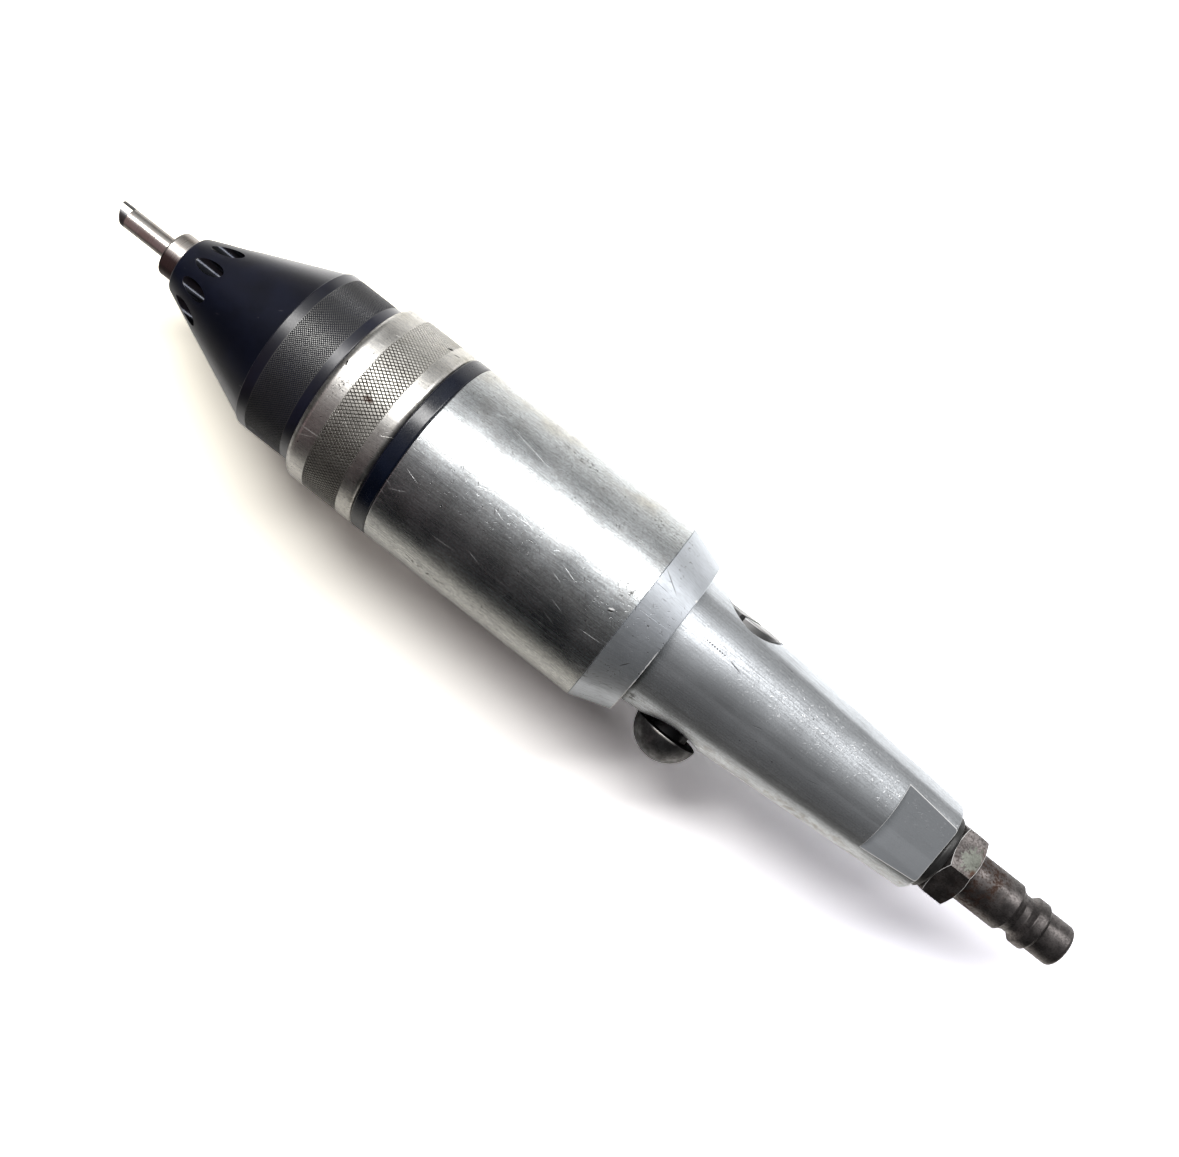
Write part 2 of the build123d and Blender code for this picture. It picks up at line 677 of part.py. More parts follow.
def make_collet():
    head_cone = COLLET_HEAD_STEP
    solid = turned(
        (x_collet_rear, collet_bore_radius),
        (x_collet_front, collet_bore_radius),
        (x_collet_front, collet_radius),
        (x_collet_front - head_cone, collet_head_radius),
        (x_spindle_front, collet_head_radius),
        (x_spindle_front - head_cone, collet_radius),
        (x_collet_rear, collet_radius),
    )
    slit_length = COLLET_LENGTH - COLLET_UNSLIT_LENGTH
    depth = collet_head_radius + OVERCUT
    slit = Box(slit_length, COLLET_SLIT_WIDTH, depth)
    slit = Pos(x_collet_front - slit_length / 2, 0, depth / 2) * slit
    return solid - around(slit, COLLET_SLIT_COUNT)


def make_collet_nut():
    outer = NUT_DIAMETER / 2
    hole = collet_socket_radius
    seat = collet_head_radius + COLLET_CLEARANCE
    x_seat_front = x_nut_front - NUT_LIP
    solid = turned(
        (x_nut_rear, nut_bore_radius),
        (x_spindle_front + HEAD_CLEARANCE, nut_bore_radius),
        (x_spindle_front + HEAD_CLEARANCE, seat),
        (x_seat_front - COLLET_HEAD_STEP, seat),
        (x_seat_front, hole),
        (x_nut_front, hole),
        (x_nut_front, outer),
        (x_nut_rear, outer),
    )
    solid = chamfer(rim(solid, x_nut_front, outer), NUT_EDGE)
    # Two spanner flats, reached with the nose cone off.
    flat_height = nut_bore_radius + NUT_FLAT_WALL
    block = Box(NUT_FLAT_LENGTH, NUT_DIAMETER, outer)
    block = Pos(x_nut_rear + NUT_FLAT_LENGTH / 2, 0, flat_height + outer / 2) * block
    return solid - around(block, 2)


def make_router_bit():
    solid = rod(x_bit_rear, x_bit_tip, bit_radius)
    # A slot to one side leaves a thin and a thick prong, and the end is raked back
    # from the thin one.
    slot = Box(2 * BIT_FORK_DEPTH, BIT_FORK_WIDTH, BIT_DIAMETER + OVERCUT)
    y_slot = BIT_THIN_PRONG + BIT_FORK_WIDTH / 2 - bit_radius
    rake_block = Box(BIT_DIAMETER, 4 * BIT_DIAMETER, 2 * BIT_DIAMETER)
    rake_block = Rot(0, 0, BIT_LIP_RAKE) * Pos(BIT_DIAMETER / 2, 0, 0) * rake_block
    solid = solid - Pos(x_bit_tip, y_slot, 0) * slot
    solid = solid - Pos(x_bit_tip, -bit_radius, 0) * rake_block
    return solid.rotate(Axis.X, BIT_FORK_TURN)


def make_handle():
    spigot = handle_thread_radius - THREAD_CLEARANCE
    groove_bottom = handle_thread_radius - SEAL_SECTION - SEAT_CLEARANCE
    groove_half = SEAL_SECTION / 2 + SEAT_CLEARANCE
    x_seal = x_shoulder + SEAL_FROM_SHOULDER
    inlet = INLET_BORE_DIAMETER / 2
    outlet = OUTLET_BORE_DIAMETER / 2
    x_edge = x_handle_end + HANDLE_END_EDGE
    solid = turned(
        (x_handle_front, outlet),
        (x_handle_front, spigot),
        (x_seal + groove_half, spigot),
        (x_seal + groove_half, groove_bottom),
        (x_seal - groove_half, groove_bottom),
        (x_seal - groove_half, spigot),
        (x_shoulder, spigot),
        (x_shoulder, handle_radius(x_shoulder)),
        (x_edge, handle_radius(x_edge)),
        (x_handle_end, handle_radius(x_handle_end) - HANDLE_END_EDGE),
        (x_handle_end, inlet_thread_radius),
        (x_screen_seat, inlet_thread_radius),
        (x_screen_seat, inlet),
        (x_throttle - THROAT_HALF_LENGTH, inlet),
        (x_throttle - THROAT_HALF_LENGTH, throat_radius),
        (x_throttle + THROAT_HALF_LENGTH, throat_radius),
        (x_throttle + THROAT_HALF_LENGTH, outlet),
    )
    reach = HANDLE_ROOT_DIAMETER
    solid = solid - cross_rod(-reach, reach, spool_bore_radius)
    solid = solid - cross_rod(-reach, -counterbore_floor, counterbore_radius)
    solid = solid - cross_rod(counterbore_floor, reach, counterbore_radius)
    # Two wrench flats at the tail.
    flat_height = FLAT_WIDTH_ACROSS / 2
    block = Box(FLAT_LENGTH + OVERCUT, HANDLE_ROOT_DIAMETER, HANDLE_ROOT_DIAMETER)
    x_block = x_handle_end + (FLAT_LENGTH - OVERCUT) / 2
    block = Pos(x_block, 0, flat_height + HANDLE_ROOT_DIAMETER / 2) * block
    return solid - around(block, 2)


def make_handle_seal():
    x_seal = x_shoulder + SEAL_FROM_SHOULDER
    section = SEAL_SECTION / 2
    middle = handle_thread_radius - section - SEAT_CLEARANCE / 2
    return Pos(x_seal, 0, 0) * Rot(0, 90, 0) * Torus(middle, section)


def make_throttle_spool():
    stub = STUB_DIAMETER / 2
    waist = spool_radius - SPOOL_GROOVE_DEPTH
    seal_bottom = spool_radius - SPOOL_SEAL_SECTION
    half = seal_groove_width / 2
    return cross_turned(
        (y_cap_inside - STUB_LENGTH, 0),
        (y_cap_inside - STUB_LENGTH, stub),
        (y_cap_inside, stub),
        (y_cap_inside, spool_radius),
        (y_rear_seal - half, spool_radius),
        (y_rear_seal - half, seal_bottom),
        (y_rear_seal + half, seal_bottom),
        (y_rear_seal + half, spool_radius),
        (y_groove_start, spool_radius),
        (y_groove_start, waist),
        (y_groove_end, waist),
        (y_groove_end, spool_radius),
        (y_front_seal - half, spool_radius),
        (y_front_seal - half, seal_bottom),
        (y_front_seal + half, seal_bottom),
        (y_front_seal + half, spool_radius),
        (y_button_base, spool_radius),
        (y_button_base, stub),
        (y_button_base + STUB_LENGTH, stub),
        (y_button_base + STUB_LENGTH, 0),
    )


def make_throttle_seals():
    section = SPOOL_SEAL_SECTION / 2
    seals = []
    for y in (y_rear_seal, y_front_seal):
        seal = Rot(90, 0, 0) * Torus(spool_radius - section, section)
        seals.append(Pos(x_throttle, y, 0) * seal)
    return Compound(seals)


def make_throttle_button():
    radius = BUTTON_DIAMETER / 2
    stub = STUB_DIAMETER / 2 + SEAT_CLEARANCE
    y_hole = y_button_base + STUB_LENGTH + SEAT_CLEARANCE
    y_rim = y_button_base + BUTTON_RIM
    y_top = y_button_base + BUTTON_HEIGHT
    dome_height = BUTTON_HEIGHT - BUTTON_RIM
    dome_radius = (radius ** 2 + dome_height ** 2) / (2 * dome_height)
    middle_turn = atan2(dome_height, radius)
    middle_y = y_top - dome_radius * (1 - cos(middle_turn))
    middle_r = dome_radius * sin(middle_turn)
    dome = ThreePointArc((radius, y_rim), (middle_r, middle_y), (0, y_top))
    sides = Polyline((0, y_top), (0, y_hole), (stub, y_hole), (stub, y_button_base))
    foot = Polyline((stub, y_button_base), (radius, y_button_base), (radius, y_rim))
    solid = revolve(make_face(Curve() + [dome, sides, foot]), Axis.Y)
    return Pos(x_throttle, 0, 0) * solid


def make_throttle_cap():
    stub = STUB_DIAMETER / 2 + SEAT_CLEARANCE
    y_hole = y_cap_inside - STUB_LENGTH - SEAT_CLEARANCE
    solid = cross_turned(
        (y_cap_inside, stub),
        (y_cap_inside, cap_radius),
        (y_cap_outside + CAP_EDGE, cap_radius),
        (y_cap_outside, cap_radius - CAP_EDGE),
        (y_cap_outside, 0),
        (y_hole, 0),
        (y_hole, stub),
    )
    slot = Box(CAP_SLOT_WIDTH, 2 * CAP_SLOT_DEPTH, 2 * cap_radius + OVERCUT)
    slot = Rot(0, CAP_SLOT_TURN, 0) * slot
    return solid - Pos(x_throttle, y_cap_outside, 0) * slot


def make_inlet_screen():
    flange = inlet_thread_radius - THREAD_CLEARANCE
    outer = INLET_BORE_DIAMETER / 2 - SCREEN_GAP
    inner = outer - SCREEN_WALL
    x_end = x_screen_seat + SCREEN_LENGTH
    solid = turned(
        (x_nipple_front, inner),
        (x_nipple_front, flange),
        (x_screen_seat, flange),
        (x_screen_seat, outer),
        (x_end, outer),
        (x_end, 0),
        (x_end - SCREEN_WALL, 0),
        (x_end - SCREEN_WALL, inner),
    )
    hole = Pos(0, 0, outer) * Cylinder(SCREEN_HOLE_DIAMETER / 2, outer)
    for row in range(SCREEN_ROWS):
        x_row = x_screen_seat + SCREEN_LENGTH * (row + 1) / (SCREEN_ROWS + 1)
        phase = 180.0 / SCREEN_HOLES_PER_ROW * (row % 2)
        solid = solid - around(Pos(x_row, 0, 0) * hole, SCREEN_HOLES_PER_ROW, phase)
    return solid


def make_inlet_washer():
    return ring(x_hex_front, x_handle_end, inlet_thread_radius, WASHER_DIAMETER / 2)


def make_inlet_nipple():
    tip = PLUG_TIP_DIAMETER / 2
    bore = NIPPLE_BORE_DIAMETER / 2
    groove = bore + PLUG_GROOVE_WALL
    turned_part = turned(
        (x_nipple_front, bore),
        (x_nipple_front, nipple_thread_radius),
        (x_hex_front, nipple_thread_radius),
        (x_hex_rear, plug_radius),
        (x_plug_groove_front + PLUG_EDGE, plug_radius),
        (x_plug_groove_front, plug_radius - PLUG_EDGE),
        (x_plug_groove_front - PLUG_GROOVE_SLOPE, groove),
        (x_plug_groove_rear + PLUG_GROOVE_SLOPE / 2, groove),
        (x_plug_groove_rear, plug_radius - PLUG_EDGE),
        (x_plug_groove_rear - PLUG_EDGE, plug_radius),
        (x_plug_collar_rear + PLUG_EDGE, plug_radius),
        (x_plug_collar_rear, tip),
        (x_plug_end, tip),
        (x_plug_end, bore),
    )
    tip_round = min(PLUG_TIP_ROUND, ROUND_SHARE * (tip - bore))
    turned_part = fillet(rim(turned_part, x_plug_end, tip), tip_round)
    # The hexagon's corners are turned back at both ends.
    corner = HEX_ACROSS_FLATS / sqrt(3)
    flat = HEX_ACROSS_FLATS / 2
    run_back = (corner - flat) * tan(radians(HEX_CHAMFER_ANGLE))
    blank = turned(
        (x_hex_rear, bore),
        (x_hex_rear, flat),
        (x_hex_rear + run_back, corner),
        (x_hex_front - run_back, corner),
        (x_hex_front, flat),
        (x_hex_front, bore),
    )
    prism = hexagon(x_hex_rear, x_hex_front, HEX_ACROSS_FLATS).rotate(Axis.X, HEX_TURN)
    return turned_part + (prism & blank)


def make_parts():
    """Every node's solid by name."""
    parts = {
        "router_bit": make_router_bit(),
        "collet": make_collet(),
        "collet_nut": make_collet_nut(),
        "nose_cone": make_nose_cone(),
        "spindle_housing": make_spindle_housing(),
        "bearing_retainer": make_bearing_retainer(),
        "clamp_ring": make_clamp_ring(),
        "joint_ring": make_joint_ring(),
        "motor_housing": make_motor_housing(),
        "front_end_plate": make_front_end_plate(),
        "preload_spring": make_preload_spring(),
        "cylinder": make_cylinder(),
        "cylinder_dowel": dowel(0.0),
        "rear_end_plate": make_rear_end_plate(),
        "rotor": make_rotor(),
        "rotor_vanes": make_rotor_vanes(),
        "rotor_key": key_block(0.0),
        "spindle": make_spindle(),
        "bearing_nut": make_bearing_nut(),
        "handle": make_handle(),
        "handle_seal": make_handle_seal(),
        "throttle_spool": make_throttle_spool(),
        "throttle_seals": make_throttle_seals(),
        "throttle_button": make_throttle_button(),
        "throttle_cap": make_throttle_cap(),
        "inlet_screen": make_inlet_screen(),
        "inlet_washer": make_inlet_washer(),
        "inlet_nipple": make_inlet_nipple(),
    }
    bearings = {
        "nose": make_bearing(
            x_nose_bearing_rear,
            NOSE_BEARING_WIDTH,
            NOSE_BEARING_BORE,
            NOSE_BEARING_OUTSIDE,
            NOSE_RACE_FLOOR,
            NOSE_BALL_COUNT,
        ),
        "front": make_bearing(
            x_front_bearing_rear,
            FRONT_BEARING_WIDTH,
            FRONT_BEARING_BORE,
            FRONT_BEARING_OUTSIDE,
            FRONT_RACE_FLOOR,
            FRONT_BALL_COUNT,
        ),
        "rear": make_bearing(
            x_rear_bearing_rear,
            REAR_BEARING_WIDTH,
            REAR_BEARING_BORE,
            REAR_BEARING_OUTSIDE,
            REAR_RACE_FLOOR,
            REAR_BALL_COUNT,
        ),
    }
    for place, pieces in bearings.items():
        for piece_name, piece in zip(("outer_race", "inner_race", "balls", "cage"), pieces):
            parts[f"{place}_bearing_{piece_name}"] = piece
    return parts


os.makedirs("parts", exist_ok=True)
for node_name, node_solid in make_parts().items():
    export_step(node_solid, f"parts/{node_name}.step")
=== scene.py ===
import json
import math

import bmesh
import bpy
from bpy.props import FloatProperty, FloatVectorProperty, IntProperty, PointerProperty
from mathutils import Matrix, Vector


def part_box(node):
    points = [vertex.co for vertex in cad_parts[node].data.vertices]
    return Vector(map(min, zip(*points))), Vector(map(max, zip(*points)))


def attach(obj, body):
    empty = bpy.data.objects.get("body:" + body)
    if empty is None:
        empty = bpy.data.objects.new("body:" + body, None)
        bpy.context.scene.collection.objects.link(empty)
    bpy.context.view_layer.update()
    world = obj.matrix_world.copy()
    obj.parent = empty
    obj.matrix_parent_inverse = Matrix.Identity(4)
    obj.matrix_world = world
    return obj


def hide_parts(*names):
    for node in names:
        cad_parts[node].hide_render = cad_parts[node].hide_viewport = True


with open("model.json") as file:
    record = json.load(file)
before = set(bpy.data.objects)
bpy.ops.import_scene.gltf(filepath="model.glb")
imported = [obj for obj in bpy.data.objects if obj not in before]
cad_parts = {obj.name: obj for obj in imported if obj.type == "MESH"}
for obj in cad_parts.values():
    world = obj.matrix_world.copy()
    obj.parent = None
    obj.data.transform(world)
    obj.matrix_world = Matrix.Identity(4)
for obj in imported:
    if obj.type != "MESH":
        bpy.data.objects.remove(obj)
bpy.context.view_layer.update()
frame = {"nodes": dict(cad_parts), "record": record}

bl_info = {
    "name": "Air router",
    "version": (1, 0, 0),
    "blender": (4, 5, 0),
    "location": "View3D > Sidebar > Air router",
    "description": "Finished pieces, materials and stage of a hand-held air router",
    "category": "Object",
}

MM = 0.001
TURN = 2 * math.pi
# Edges that turn more than this are drawn crisp, the rest smooth.
CRISP_EDGE = math.radians(18)
# Edges that turn more than this can be softened.
SOFT_EDGE = math.radians(32)
ROUND_STEPS = 7
# Length of the even strip kept beside each rounded corner, in millimetres.
EASE = 0.06
# Points closer than these, in metres, become one: in the trees, and in a finished piece.
WELD = 1e-7
CLOSE = 2e-6


def extent(node):
    """Lowest and highest corner of a CAD node, in millimetres."""
    low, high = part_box(node)
    return [value / MM for value in low], [value / MM for value in high]


# Stations along the spindle, in millimetres from the origin, read from the frame.
X_SHOULDER, X_SPIGOT_END = (corner[0] for corner in extent("motor_housing"))
X_BODY_FRONT, X_CLAMP_REAR = (corner[0] for corner in extent("joint_ring"))
X_BODY_REAR = -X_BODY_FRONT
X_CLAMP_FRONT = extent("clamp_ring")[1][0]
X_GRIP_REAR, X_NOSE = (corner[0] for corner in extent("nose_cone"))
X_NUT_REAR, X_NUT_FRONT = (corner[0] for corner in extent("collet_nut"))
X_BIT_REAR, X_BIT_TIP = (corner[0] for corner in extent("router_bit"))
X_HANDLE_END, X_HANDLE_FRONT = (corner[0] for corner in extent("handle"))
X_PLUG_END, X_NIPPLE_FRONT = (corner[0] for corner in extent("inlet_nipple"))
X_HEX_FRONT = extent("inlet_washer")[0][0]
X_THROTTLE = sum(corner[0] for corner in extent("throttle_button")) / 2
Y_BUTTON_BASE, Y_BUTTON_TOP = (corner[1] for corner in extent("throttle_button"))
Y_CAP_OUTSIDE, Y_CAP_INSIDE = (corner[1] for corner in extent("throttle_cap"))
BODY_RADIUS = extent("motor_housing")[1][2]
GRIP_RADIUS = extent("nose_cone")[1][2]
BIT_RADIUS = extent("router_bit")[1][2]
NUT_RADIUS = extent("collet_nut")[1][2]
BUTTON_RADIUS = extent("throttle_button")[1][2]
CAP_RADIUS = extent("throttle_cap")[1][2]
WASHER_RADIUS = extent("inlet_washer")[1][2]

# Sizes that shapes and materials share, in millimetres and degrees.
GRIP_BAND = X_GRIP_REAR + 2.5, X_GRIP_REAR + 12.4
CLAMP_BAND = X_CLAMP_REAR + 4.1, X_CLAMP_REAR + 13.5
FORK_DEPTH = 3.4
FLAT_OUT = 9.0
X_FLAT_FRONT = X_HANDLE_END + 14.1
X_HEX_REAR = X_HEX_FRONT - 6.6
CAP_SLOT_HALF = 0.6
CAP_SLOT_TURN = 24.0
# Turns a piece made along the spindle axis so that it stands along the throttle.
ACROSS = Matrix.Translation((X_THROTTLE * MM, 0, 0)) @ Matrix.Rotation(math.radians(90), 4, "Z")

# The camera, in metres, millimetres and degrees.
CAMERA_PLACE = Vector((-0.026, -0.0308, 0.2984))
CAMERA_TARGET = Vector((-0.0169, 0, 0))
CAMERA_LENS = 40.9
CAMERA_LEAN = 38.11


class Tree:
    """Short words for adding and linking the nodes of one tree."""

    def __init__(self, tree):
        self.tree = tree

    def feed(self, socket, value):
        """Links a socket to an output, or sets it to a plain value."""
        if isinstance(value, bpy.types.NodeSocket):
            self.tree.links.new(value, socket)
        else:
            socket.default_value = value

    def paint(self, socket, color):
        """Links a socket to a colour output, or sets it to a plain colour."""
        self.feed(socket, color if isinstance(color, bpy.types.NodeSocket) else (*color, 1))

    def add(self, kind, inputs=None, **settings):
        """A new node with its settings and inputs."""
        node = self.tree.nodes.new(kind)
        for name, value in settings.items():
            setattr(node, name, value)
        for name, value in (inputs or {}).items():
            self.feed(node.inputs[name], value)
        return node

    def math(self, operation, *values):
        """One step of arithmetic."""
        node = self.add("ShaderNodeMath", operation=operation)
        for socket, value in zip(node.inputs, values):
            self.feed(socket, value)
        return node.outputs[0]

    def fold(self, operation, values):
        """Works through values from the first, one after another."""
        result = values[0]
        for value in values[1:]:
            result = self.math(operation, result, value)
        return result

    def times(self, *values):
        return self.fold("MULTIPLY", values)

    def plus(self, *values):
        return self.fold("ADD", values)

    def most(self, *values):
        return self.fold("MAXIMUM", values)

    def span(self, value, low, high, to_low=0.0, to_high=1.0, smooth=True):
        """Carries a value from one range to another and keeps it there."""
        kind = "SMOOTHSTEP" if smooth else "LINEAR"
        inputs = {0: value, 1: low, 2: high, 3: to_low, 4: to_high}
        return self.add("ShaderNodeMapRange", inputs, interpolation_type=kind).outputs[0]

    def zone(self, value, low, high, soft):
        """1 between two limits, falling to 0 over a soft edge."""
        rise = self.span(value, low - soft, low + soft)
        fall = self.span(value, high - soft, high + soft, 1.0, 0.0)
        return self.times(rise, fall)

    def mix(self, share, low, high):
        """Goes from one colour to another."""
        node = self.add("ShaderNodeMix", {0: share}, data_type="RGBA")
        self.paint(node.inputs[6], low)
        self.paint(node.inputs[7], high)
        return node.outputs[2]

    def combine(self, x, y, z):
        return self.add("ShaderNodeCombineXYZ", {0: x, 1: y, 2: z}).outputs[0]

    def separate(self, vector):
        return self.add("ShaderNodeSeparateXYZ", {0: vector}).outputs[:3]


# Geometry trees


def new_geometry_tree(name, *inputs):
    """A geometry tree with named inputs, its group input and its nodes."""
    tree = bpy.data.node_groups.new(name, "GeometryNodeTree")
    tree.interface.new_socket("Geometry", in_out="INPUT", socket_type="NodeSocketGeometry")
    for label, kind in inputs:
        tree.interface.new_socket(label, in_out="INPUT", socket_type="NodeSocket" + kind)
    tree.interface.new_socket("Geometry", in_out="OUTPUT", socket_type="NodeSocketGeometry")
    made = Tree(tree)
    return made, made.add("NodeGroupInput").outputs


def close_tree(made, geometry, material):
    """Ends a tree in real geometry with its material set."""
    real = made.add("GeometryNodeRealizeInstances", {0: geometry})
    coated = made.add("GeometryNodeSetMaterial", {"Geometry": real.outputs[0], "Material": material})
    made.add("NodeGroupOutput", {0: coated.outputs[0]})
    return made.tree


def grid_around(made, columns, rows):
    """A grid to be laid about the spindle, and the column and row of each of its points."""
    inputs = {"Vertices X": made.plus(columns, 1), "Vertices Y": rows}
    grid = made.add("GeometryNodeMeshGrid", inputs).outputs[0]
    index = made.plus(made.add("GeometryNodeInputIndex").outputs[0], 0.5)
    column = made.math("FLOOR", made.math("DIVIDE", index, rows))
    row = made.math("FLOOR", made.math("MODULO", index, rows))
    return grid, column, row


def lay_around(made, grid, turn, station, radius):
    """Sets the grid's points by their share of a turn, station and radius."""
    angle = made.times(turn, TURN)
    spot = made.combine(
        station,
        made.times(radius, made.math("SINE", angle)),
        made.times(radius, made.math("COSINE", angle)),
    )
    return made.add("GeometryNodeSetPosition", {"Geometry": grid, "Position": spot}).outputs[0]


def weld(made, geometry):
    """Joins the points that lie on each other."""
    return made.add("GeometryNodeMergeByDistance", {"Geometry": geometry, "Distance": WELD}).outputs[0]


def turned_tree():
    """Turns a profile, given as points (station, radius), about the spindle axis."""
    made, given = new_geometry_tree("turned_piece", ("Segments", "Int"), ("Material", "Material"))
    profile, segments = given["Geometry"], given["Segments"]
    rows = made.add("GeometryNodeAttributeDomainSize", {0: profile}).outputs["Point Count"]
    grid, column, row = grid_around(made, segments, rows)
    place = made.add(
        "GeometryNodeSampleIndex",
        {"Geometry": profile, "Index": row},
        data_type="FLOAT_VECTOR",
        domain="POINT",
    )
    made.feed(place.inputs["Value"], made.add("GeometryNodeInputPosition").outputs[0])
    station, radius, _ = made.separate(place.outputs[0])
    laid = lay_around(made, grid, made.math("DIVIDE", column, segments), station, radius)
    return close_tree(made, weld(made, laid), given["Material"])


def milled_tree():
    """Cuts copies of a cutter, spread about the spindle axis, from a piece."""
    made, given = new_geometry_tree(
        "milled_around",
        ("Cutter", "Object"),
        ("Count", "Int"),
        ("Phase", "Float"),
        ("Material", "Material"),
    )
    cutter = made.add("GeometryNodeObjectInfo", {"Object": given["Cutter"]}).outputs["Geometry"]
    points = made.add("GeometryNodePoints", {"Count": given["Count"]}).outputs[0]
    share = made.math("DIVIDE", made.add("GeometryNodeInputIndex").outputs[0], given["Count"])
    angle = made.plus(made.times(share, TURN), given["Phase"])
    spread = made.add(
        "GeometryNodeInstanceOnPoints",
        {"Points": points, "Instance": cutter, "Rotation": made.combine(angle, 0.0, 0.0)},
    ).outputs[0]
    cutters = made.add("GeometryNodeRealizeInstances", {0: spread}).outputs[0]
    cut = made.add(
        "GeometryNodeMeshBoolean",
        {"Mesh 1": given["Geometry"], "Mesh 2": cutters},
        operation="DIFFERENCE",
        solver="EXACT",
    ).outputs[0]
    return close_tree(made, cut, given["Material"])


def knurl_tree():
    """Closes a turned ring with a band of diamond knurling."""
    made, given = new_geometry_tree(
        "knurled_band",
        ("Start", "Float"),
        ("End", "Float"),
        ("Radius", "Float"),
        ("Depth", "Float"),
        ("Worn Top", "Float"),
        ("Diamonds Around", "Int"),
        ("Diamonds Along", "Int"),
        ("Steps", "Int"),
        ("Material", "Material"),
    )
    steps = given["Steps"]
    columns = made.times(given["Diamonds Around"], steps)
    rows = made.times(given["Diamonds Along"], steps)
    grid, column, row = grid_around(made, columns, made.plus(rows, 1))
    around = made.math("DIVIDE", column, steps)
    along = made.math("DIVIDE", row, steps)
    # Twice the distance to the nearer groove of two families that cross.
    rising = made.math("PINGPONG", made.plus(around, along), 0.5)
    falling = made.math("PINGPONG", made.math("SUBTRACT", around, along), 0.5)
    height = made.times(made.math("MINIMUM", rising, falling), 2)
    worn = made.math("MINIMUM", height, given["Worn Top"])
    # The grooves run out at both ends of the band.
    from_end = made.math("MINIMUM", row, made.math("SUBTRACT", rows, row))
    inside = made.math("GREATER_THAN", from_end, 0.5)
    missing = made.times(inside, made.math("SUBTRACT", given["Worn Top"], worn), given["Depth"])
    radius = made.math("SUBTRACT", given["Radius"], missing)
    length = made.math("SUBTRACT", given["End"], given["Start"])
    station = made.plus(given["Start"], made.times(length, made.math("DIVIDE", row, rows)))
    laid = lay_around(made, grid, made.math("DIVIDE", column, columns), station, radius)
    band = made.add("GeometryNodeTriangulate", {"Mesh": laid}, quad_method="SHORTEST_DIAGONAL").outputs[0]
    both = made.add("GeometryNodeJoinGeometry")
    made.feed(both.inputs[0], given["Geometry"])
    made.feed(both.inputs[0], band)
    return close_tree(made, weld(made, both.outputs[0]), given["Material"])


TREES = {}


def geometry_tree(make):
    """The tree that a function makes, made once."""
    if make.__name__ not in TREES:
        TREES[make.__name__] = make()
    return TREES[make.__name__]


def add_tree(piece, make, **values):
    """Puts a geometry tree on a piece and sets its named inputs."""
    modifier = piece.modifiers.new(make.__name__, "NODES")
    modifier.node_group = geometry_tree(make)
    for item in modifier.node_group.interface.items_tree:
        key = item.name.lower().replace(" ", "_")
        if item.in_out == "INPUT" and key in values:
            modifier[item.identifier] = values[key]


# Shapes


def rounded(*corners, closed=True):
    """Profile points in metres from corners (station, radius, rounding) in millimetres."""
    points = []
    for index, corner in enumerate(corners):
        here = Vector(corner[:2])
        size = corner[2] if len(corner) > 2 else 0
        if not size:
            points.append(here)
            continue
        to_last = (Vector(corners[index - 1][:2]) - here).normalized()
        to_next = (Vector(corners[(index + 1) % len(corners)][:2]) - here).normalized()
        half = to_last.angle(to_next) / 2
        run = size / math.tan(half)
        middle = here + (to_last + to_next).normalized() * size / math.sin(half)
        start = here + to_last * run - middle
        end = here + to_next * run - middle
        points.append(middle + start + to_last * EASE)
        for step in range(ROUND_STEPS + 1):
            points.append(middle + start.slerp(end, step / ROUND_STEPS) * size)
        points.append(middle + end + to_next * EASE)
    if closed:
        points.append(points[0])
    return [point * MM for point in points]


def dome(radius, y_rim, y_top, steps=16):
    """Corners of a round cap from its top on the axis out to its rim."""
    rise = y_top - y_rim
    ball = (radius ** 2 + rise ** 2) / (2 * rise)
    sweep = math.atan2(radius, ball - rise)
    corners = []
    for step in range(steps):
        angle = sweep * step / steps
        corners.append((y_top - ball * (1 - math.cos(angle)), ball * math.sin(angle)))
    return corners


def new_object(name, mesh):
    """An object with a mesh, in the scene."""
    piece = bpy.data.objects.new(name, mesh)
    bpy.context.scene.collection.objects.link(piece)
    return piece


def turned(name, profile, material, segments):
    """A piece turned from its profile."""
    mesh = bpy.data.meshes.new(name)
    mesh.from_pydata([(point.x, point.y, 0) for point in profile], [], [])
    piece = new_object(name, mesh)
    add_tree(piece, turned_tree, segments=segments, material=material)
    return piece


def knurled(name, profile, material, band, radius, depth, worn_top, diamonds, rows, steps):
    """A ring turned from its profile, with a knurled band between two stations."""
    piece = turned(name, profile, material, steps * diamonds)
    add_tree(
        piece,
        knurl_tree,
        start=band[0] * MM,
        end=band[1] * MM,
        radius=radius * MM,
        depth=depth,
        worn_top=worn_top,
        diamonds_around=diamonds,
        diamonds_along=rows,
        steps=steps,
        material=material,
    )
    return piece


def block(*corners):
    """A cutter box between two corners, in millimetres."""
    low, high = (Vector(corner) * MM for corner in corners)
    shape = bmesh.new()
    bmesh.ops.create_cube(shape, size=1)
    for vertex in shape.verts:
        vertex.co = [l + (h - l) * (c + 0.5) for l, h, c in zip(low, high, vertex.co)]
    return shape


def loft(rings):
    """A closed cutter through rings with the same number of points, in metres."""
    shape = bmesh.new()
    made = [[shape.verts.new(point) for point in ring] for ring in rings]
    for lower, upper in zip(made, made[1:]):
        for index in range(len(lower)):
            after = (index + 1) % len(lower)
            shape.faces.new((lower[index], lower[after], upper[after], upper[index]))
    shape.faces.new(reversed(made[0]))
    shape.faces.new(made[-1])
    bmesh.ops.recalc_face_normals(shape, faces=shape.faces)
    return shape


